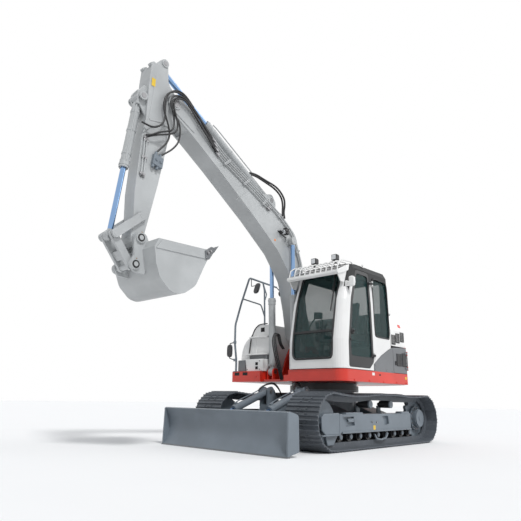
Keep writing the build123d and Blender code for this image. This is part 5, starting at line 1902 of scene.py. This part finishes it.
    def arm_pipes(self) -> None:
        """Two steel pipes with their nuts and clamps, and a valve block on the arm."""
        near = self.arm_near
        pipes, nuts = [], []
        for start, middle, end in ((0.318, 0.262, 0.212), (0.278, 0.222, 0.172)):
            spots = ((0.79, start), (0.95, start - 0.027), (1.1, middle), (1.25, middle - 0.026), (1.39, end))
            line = [ARM.at(*spot, near + 0.022) for spot in spots]
            pipes.append(self.hose(line, 0.011))
            top, foot = Vector(line[0]), Vector(line[-1])
            nuts.append(self.rod(top, top + (Vector(line[1]) - top).normalized() * 0.042, 0.019, 0.003, 6))
            nuts.append(self.rod(foot, foot + Vector((0, -0.03, -0.012)), 0.016, 0.003, 10))
        for along, across in profile(850, 322, 1120, 276, 1370, 236):
            corners = [(along - 0.02, across), (along + 0.02, across), (along + 0.02, across - 0.086),
                       (along - 0.02, across - 0.086)]
            nuts.append(self.plate(corners, ARM.at, near - 0.001, near + 0.034, 0.004))
            nuts.append(self.bolt(ARM.at(along, across - 0.043, near + 0.034), (0, 1, 0), 0.014))
        block = profile(985, 120, 985, -50, 1150, -65, 1150, 105)
        valve = [self.plate(block, ARM.at, near - 0.001, near + 0.066, 0.01)]
        for across in (0.085, 0.01):
            for start, end in ((0.945, 0.99), (1.145, 1.19)):
                valve.append(self.rod(ARM.at(start, across, near + 0.036), ARM.at(end, across, near + 0.036),
                                      0.021, 0.003, 6))
            low, high = (ARM.at(1.065, across - 0.02, near + out) for out in (0.066, 0.078))
            valve.append(self.rod(low, high, 0.016, 0.003, 6))
        self.finished("Arm_pipes", pipes, "arm", Slot.PALE)
        self.finished("Arm_pipe_clamps", nuts, "arm", Slot.PIN)
        self.finished("Arm_valve_block", valve, "arm", Slot.SLATE)

    def arm_bosses(self) -> None:
        """Bosses and pin caps at the cylinders' eyes, and the blank sticker on the arm."""
        bosses, caps = [], []
        for side in (-1, 1):
            face = self.centre + side * 0.138
            # place, boss height and radius, cap height and radius
            for spot, out, wide, cap, narrow in ((ARM_EYE, 0.014, 0.056, 0.02, 0.034),
                                                 (BUCKET_FOOT, 0.012, 0.06, 0.018, 0.036)):
                bosses.append(self.disc(*spot, face - side * 0.002, face + side * out, wide, 0.005, 32))
                caps.append(self.disc(*spot, face, face + side * cap, narrow, 0.004, 24))
        self.finished("Arm_bosses", bosses, "arm", Slot.PALE)
        self.finished("Arm_pin_caps", caps, "arm", Slot.PIN)
        tag = profile(4172, 5276, 4106, 5276, 4106, 5145, 4172, 5145)
        sticker = self.plate(tag, sideways, -0.0262, -0.025, 0.0004)
        self.finished("Arm_blank_sticker", [sticker], "arm", YELLOW, Slot.PALE)

    def tip_hoses(self) -> None:
        """Hoses from the boom's pipes over the arm's pivot to the arm's fittings."""
        y = self.near + 0.024
        # places in side view from the boom's pipe ends to the arm
        lines = (
            profile(2965, 4732, 3150, 4880, 3400, 5080, 3592, 5191, 3708, 5213, 3847, 5172, 3947, 5065, 3982,
                    4936, 3971, 4803, 3915, 4677, 3861, 4564, 3834, 4426, 3870, 4303, 3936, 4209, 4010, 4110),
            profile(2930, 4669, 3120, 4820, 3380, 5020, 3606, 5148, 3734, 5142, 3826, 5097, 3874, 5017, 3873,
                    4905, 3819, 4818, 3744, 4755, 3682, 4657, 3663, 4512, 3691, 4363, 3773, 4235, 3870, 4140,
                    3930, 4090),
            profile(2894.5, 4606, 3080, 4770, 3320, 5020, 3546, 5215, 3679, 5257, 3804, 5215, 3919, 5093,
                    3951, 4923, 3928, 4740, 3942, 4638, 3994, 4540, 4076, 4470, 4160, 4446, 4247, 4461, 4300,
                    4475),
            profile(2859.6, 4543, 3050, 4700, 3330, 4930, 3604, 5134, 3733, 5121, 3835, 5021, 3841, 4892,
                    3800, 4771, 3775, 4644, 3804, 4521, 3899, 4473, 4068, 4380, 4135, 4325, 4206, 4309),
            profile(2860, 4510, 3060, 4670, 3340, 4890, 3596, 5104, 3716, 5098, 3791, 5047, 3835, 4923, 3787,
                    4805, 3729, 4664, 3735, 4536, 3807, 4465, 3923, 4402, 4066, 4355, 4167, 4301),
        )
        hoses = []
        for index, line in enumerate(lines):
            count = len(line) - 1
            offset = (0.02, 0.046, 0.01, 0.034, 0.058)[index]
            points = []
            for step, (x, z) in enumerate(line):
                share = step / count
                lift = min(1.0, share * 5) * min(1.0, (1 - share) * 6)
                end = y if share < 0.5 else -0.004
                points.append((x, end + lift * (offset + y - end), z))
            hoses.append(self.hose(points, 0.0135))
        self.bending("Tip_hoses", hoses, "boom", "arm", (3.55, 0, 5.1), (3.85, 0, 4.75))

    def cylinder_hoses(self) -> None:
        """Thick hoses from the arm cylinder to the boom's pipes, and its steel pipe."""
        hoses = []
        for shift in (0.0, 0.034):
            hoses.append(self.hose([
                (1.943 + shift, -0.118, 4.532 + shift * 0.5), (1.89, -0.07, 4.52 + shift),
                (1.691, 0.01, 4.43 + shift),
                (1.44, 0.03 + shift, 4.374 + shift), (1.27 - shift, 0.03 + shift, 4.267),
                (1.229 - shift, 0.026 + shift * 0.6, 4.12), (1.24 - shift, 0.024, 3.98),
                (1.226 - shift * 1.6, 0.024, 3.922 - shift),
            ], 0.017))
        self.bending("Arm_cylinder_hoses", hoses, "boom", "arm_barrel", (1.25, 0, 4.1), (1.75, 0, 4.4))
        # piece and body, cylinder, height of its pipe's side, band radius and half width, pipe, bands
        rows = (
            ("Arm_cylinder_pipe", "arm_barrel", ARM_CYLINDER, 0.062, 0.073, 0.014,
             profile(560, 70, 620, 86, 800, 86, 1300, 84, 1640, 84, 1700, 68), (0.62, 1.15, 1.6)),
            ("Bucket_cylinder_pipe", "bucket_barrel", BUCKET_CYLINDER, 0.066, 0.068, 0.016,
             profile(100, 30, 170, 40, 300, 35, 620, 30, 980, 30, 1060, 20), (0.24, 0.55, 0.93)),
        )
        for name, body, cylinder, out, radius, half, spots, places in rows:
            near = self.centre + out
            pieces = [self.hose([cylinder.at(*spot, near) for spot in spots], 0.01)]
            pieces += [self.band(cylinder.at(along - half, 0, self.centre),
                                 cylinder.at(along + half, 0, self.centre), radius) for along in places]
            if body == "bucket_barrel":
                corners = profile(70, 10, 130, 10, 130, 55, 70, 55)
                pieces.append(self.plate(corners, cylinder.at, near - 0.02, near + 0.03, 0.005))
            self.finished(name, pieces, body, Slot.PALE)

    def cylinder_bands(self) -> None:
        """Gland rings and their bolts at the heads of the front's cylinders."""
        # cylinder, y of each, reach, radius over the head and body
        rows = (
            (BOOM_CYLINDER, (-0.422, 0.082), 1.305, 0.068, "boom_barrels"),
            (ARM_CYLINDER, (-0.17,), 1.8, 0.074, "arm_barrel"),
            (BUCKET_CYLINDER, (-0.17,), 1.15, 0.068, "bucket_barrel"),
        )
        for cylinder, places, reach, radius, body in rows:
            rings, bolts = [], []
            for y in places:
                for low, high, size in ((0.052, 0.03, (radius + 0.006, 0.012)),
                                        (0.112, 0.104, (radius + 0.002,))):
                    start, end = cylinder.at(reach - low, 0, y), cylinder.at(reach - high, 0, y)
                    rings.append(self.band(start, end, *size))
                out = Vector(cylinder.at(1, 0, y)) - Vector(cylinder.at(0, 0, y))
                for turn in range(8):
                    angle = math.tau * (turn + 0.5) / 8
                    across, aside = math.cos(angle) * (radius - 0.012), math.sin(angle) * (radius - 0.012)
                    bolts.append(self.bolt(cylinder.at(reach - 0.001, across, y + aside), out, 0.015))
                port = cylinder.at(0.115, -0.058, y)
                rings.append(self.rod(port, cylinder.at(0.115, -0.092, y), 0.02, 0.003, 12))
            self.finished("Gland_rings_" + body, rings, body, Slot.PALE)
            self.finished("Gland_bolts_" + body, bolts, body, Slot.PIN)

    def foot_hoses(self) -> None:
        """Hose loops in front of the boom cylinders' feet."""
        hoses = []
        for index in range(3):
            y = -0.05 - index * 0.026
            grow = index * 0.01
            hoses.append(self.hose([
                (1.1, y, 1.02), (1.15, y, 1.16), (1.195 + grow, y, 1.292), (1.265 + grow, y, 1.475),
                (1.3 + grow, y, 1.6), (1.312 + grow, y, 1.7), (1.29, y, 1.775 + grow), (1.239, y, 1.8 + grow),
                (1.195, y, 1.775), (1.172, y, 1.7), (1.125, y * 0.8 - 0.03, 1.62),
                (1.05, y * 0.8 - 0.03, 1.56),
            ], 0.0105))
        self.bending("Foot_hoses", hoses, "upper", "boom_barrels", (1.12, 0, 1.1), (1.34, 0, 1.55))

    def bucket_fittings(self) -> None:
        """Bands, cutters, pin caps, grease nipples, bolts and weld beads of the bucket."""
        origin = ARM.toward

        def at(u: float, v: float, y: float) -> Point:
            """Place from a distance ahead of and above the bucket's pin."""
            return (origin[0] + u, y, origin[1] + v)
        plates, cutters, bolts = [], [], []
        band = profile(-160, -40, -930, -8, -940, -140, -75, -170)
        cutter = profile(-895, -24, -912, -138, -980, -142, -1070, 0, -1104, 52, -1010, 58)
        for side in (-1, 1):
            face = self.centre + side * 0.48
            plates.append(self.plate(band, at, face - side * 0.001, face + side * 0.012, 0.004))
            cutters.append(self.plate(cutter, at, face + side * 0.002, face + side * 0.028, 0.008))
            bolts += [self.bolt(at(u, v, face + side * 0.028), (0, side, 0), 0.034)
                      for u, v in ((-0.945, -0.052), (-0.99, -0.02))]
            bead = profile(-75, -170, -350, -162, -650, -151, -940, -142)
            plates.append(self.hose([at(u, v, face + side * 0.002) for u, v in bead], 0.005, 4))
        caps, faces, nipples = [], [], []
        x, _, z = ARM.at(*PUSH_PIN, 0)
        # list, both ends out of the bucket's ears, radius, lip and sides
        rows = ((plates, -0.01, 0.02, 0.066, 0.005, 36), (caps, 0.018, 0.028, 0.048, 0.005, 32),
                (faces, 0.02, 0.031, 0.03, 0.003, 24))
        for u, v in ((0.0, 0.0), (x - origin[0], z - origin[1])):
            for side in (-1, 1):
                face = self.centre + side * 0.21
                for pieces, low, high, *size in rows:
                    pieces.append(self.rod(at(u, v, face + side * low), at(u, v, face + side * high), *size))
                nipples.append(self.rod(at(u - 0.01, v + 0.062, face + side * 0.008),
                                        at(u - 0.014, v + 0.084, face + side * 0.01), 0.007, 0.002, 8))
        self.finished("Bucket_bands", plates, "bucket", Slot.PALE)
        self.finished("Bucket_side_cutters", cutters, "bucket", Slot.WORN)
        self.finished("Bucket_cutter_bolts", bolts, "bucket", Slot.PIN)
        self.finished("Bucket_pin_caps", caps, "bucket", Slot.PLASTIC)
        self.finished("Bucket_pin_faces", faces, "bucket", Slot.PALE)
        self.finished("Bucket_grease_nipples", nipples, "bucket", BRASS, Slot.PIN)


@dataclass
class Seat(Bench):
    """Padded driver's seat that takes the place of the plain solid.

    Attributes:
        voxel: side of the cells that the pads are remeshed to.
        reach: how far a point of a pad may swell.
    """

    voxel: float = 0.006
    reach: float = 0.014

    def build(self) -> None:
        """Make the cushion, the back and the frame below them."""
        # outline in side view, inner and outer y and name
        pads = (
            (profile(275, 1640, 735, 1655, 745, 1742, 275, 1722), 0.5, 0.96, "Seat_cushion"),
            (profile(272, 1720, 350, 1725, 245, 2390, 160, 2380), 0.52, 0.94, "Seat_back"),
        )
        for pad in pads:
            self.pad(*pad)
        base = [
            self.plate(profile(390, 1252, 670, 1252, 630, 1640, 430, 1640), sideways, 0.57, 0.89, 0.012),
            self.block((0.3, 0.53, 1.615), (0.72, 0.93, 1.645), 0.008),
        ]
        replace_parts(self.finished("Seat_frame", base, "upper", Slot.PLASTIC), "cab_seat")

    def pad(self, outline: Sequence[Sequence[float]], low: float, high: float, name: str) -> None:
        """One swollen cloth pad with two sewn seams.

        Args:
            outline: its shape from the side.
            low: its right edge.
            high: its left edge.
            name: its name.
        """
        piece = self.plate(outline, sideways, low, high, 0.026)
        self.pick(piece)
        remesh = piece.modifiers.new("Cells", "REMESH")
        remesh.mode = "VOXEL"
        remesh.voxel_size = self.voxel
        bpy.ops.object.modifier_apply(modifier="Cells")
        self.swell(piece)
        middle = (low + high) / 2
        normals = [vertex.normal.copy() for vertex in piece.data.vertices]
        for vertex, normal in zip(piece.data.vertices, normals):
            for seam in (middle - 0.115, middle + 0.115):
                depth = 0.007 * math.exp(-((vertex.co.y - seam) / 0.006) ** 2)
                vertex.co -= normal * depth
        bpy.ops.object.shade_smooth()
        self.finished(name, [piece], "upper", Slot.CLOTH)

    def swell(self, piece: Mesh) -> None:
        """Blow the pad up as cloth, with each point's move capped.

        Args:
            piece: the pad.
        """
        before = [vertex.co.copy() for vertex in piece.data.vertices]
        cloth = piece.modifiers.new("Cloth", "CLOTH")
        cloth.settings.use_pressure = True
        cloth.settings.uniform_pressure_force = 4.0
        cloth.settings.effector_weights.gravity = 0.0
        scene = bpy.context.scene
        for frame in range(1, 21):
            scene.frame_set(frame)
        shaped = piece.evaluated_get(bpy.context.evaluated_depsgraph_get())
        after = [vertex.co.copy() for vertex in shaped.data.vertices]
        piece.modifiers.remove(cloth)
        scene.frame_set(1)
        for vertex, start, end in zip(piece.data.vertices, before, after):
            move = end - start
            if move.length > self.reach:
                move = move.normalized() * self.reach
            vertex.co = start + move
        piece.data.update()


# Studio

@dataclass
class Studio:
    """Pale floor, soft lights and the camera of the photograph.

    Attributes:
        position: the camera's place.
        yaw: direction of view from +X towards +Y in degrees.
        pitch: upward tilt in degrees.
        roll: turn about the line of view in degrees.
        lens: focal length in millimetres on a 36 mm wide sensor.
    """

    position: Point = (7.8315, 5.6097, 0.7177)
    yaw: float = 222.798
    pitch: float = 15.288
    roll: float = 1.027
    lens: float = 34.989
    floor_half: float = 60.0

    def build(self) -> None:
        """Make the floor, the world, the lamps and the camera."""
        self.camera()
        self.floor()
        self.world()
        self.lamps()

    def camera(self) -> None:
        """Set the camera by its yaw, pitch and roll."""
        yaw, pitch, roll = (math.radians(angle) for angle in (self.yaw, self.pitch, self.roll))
        ahead = Vector((math.cos(yaw) * math.cos(pitch), math.sin(yaw) * math.cos(pitch), math.sin(pitch)))
        right = ahead.cross(Vector((0, 0, 1))).normalized()
        up = right.cross(ahead)
        turned_right = right * math.cos(roll) + up * math.sin(roll)
        turned_up = up * math.cos(roll) - right * math.sin(roll)
        data = bpy.data.cameras.new("Photograph's view")
        data.lens = self.lens
        data.sensor_width = 36.0
        data.clip_end = 200.0
        camera = bpy.data.objects.new("Photograph's view", data)
        rotation = Matrix((turned_right, turned_up, -ahead)).transposed()
        camera.matrix_world = Matrix.Translation(self.position) @ rotation.to_4x4()
        bpy.context.collection.objects.link(camera)
        bpy.context.scene.camera = camera

    def floor(self) -> None:
        """Lay the pale floor."""
        bpy.ops.mesh.primitive_plane_add(size=self.floor_half * 2, location=(0, 0, 0))
        floor = bpy.context.active_object
        floor.name = "Floor"
        shader = Shader(bpy.data.materials.new("Pale floor"))
        tone = shader.noise(0.8, 3.0, 0.5)
        floor.data.materials.append(shader.finish(
            Base_Color=shader.mix(tone, (0.93, 0.93, 0.93), (0.95, 0.95, 0.95)),
            Roughness=0.9 - tone * 0.1,
        ))

    def world(self) -> None:
        """White background that lights the part softly."""
        world = bpy.data.worlds.new("Soft white studio")
        shader = Shader(world)
        camera, glossy, through = (shader.node("ShaderNodeLightPath", {}, {}, "Is %s Ray" % kind)
                                   for kind in ("Camera", "Glossy", "Transmission"))
        fill = shader.node("ShaderNodeBackground", {}, {"Color": (0.93, 0.96, 1.0, 1), "Strength": 0.5})
        seen = shader.node("ShaderNodeBackground", {}, {"Color": (1, 1, 1, 1)})
        inputs = {0: camera.most(glossy).most(through), 1: fill, 2: seen}
        shader.node("ShaderNodeOutputWorld", {}, {0: shader.node("ShaderNodeMixShader", {}, inputs)})
        bpy.context.scene.world = world

    def lamps(self) -> None:
        """Hang a large soft key lamp and a weaker one behind."""
        # name, direction that the light comes from, strength and apparent size in degrees
        suns = (
            ("Key", (0.3, 0.85, 0.95), 1.9, 10.0),
            ("Rim", (-0.75, 0.45, 0.55), 0.5, 30.0),
        )
        for name, source, strength, size in suns:
            data = bpy.data.lights.new(name, "SUN")
            data.energy = strength
            data.angle = math.radians(size)
            lamp = bpy.data.objects.new(name, data)
            lamp.rotation_euler = Vector(source).to_track_quat("Z", "Y").to_euler()
            bpy.context.collection.objects.link(lamp)


def main() -> None:
    """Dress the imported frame, add the fittings and set up the studio."""
    logging.basicConfig(level=logging.INFO, format="%(message)s")
    for thing in list(bpy.data.objects):
        bpy.data.objects.remove(thing)
    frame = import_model()
    bpy.context.scene.view_settings.view_transform = "Standard"
    paints = Paintbox()
    paints.dress(frame)
    Studio().build()
    for assembly in (Crawler, Blade, House, Rails, Cab, FrontEnd, Seat):
        assembly(paints).build()
        LOG.info("%s made", assembly.__name__)


if __name__ == "__main__":
    main()
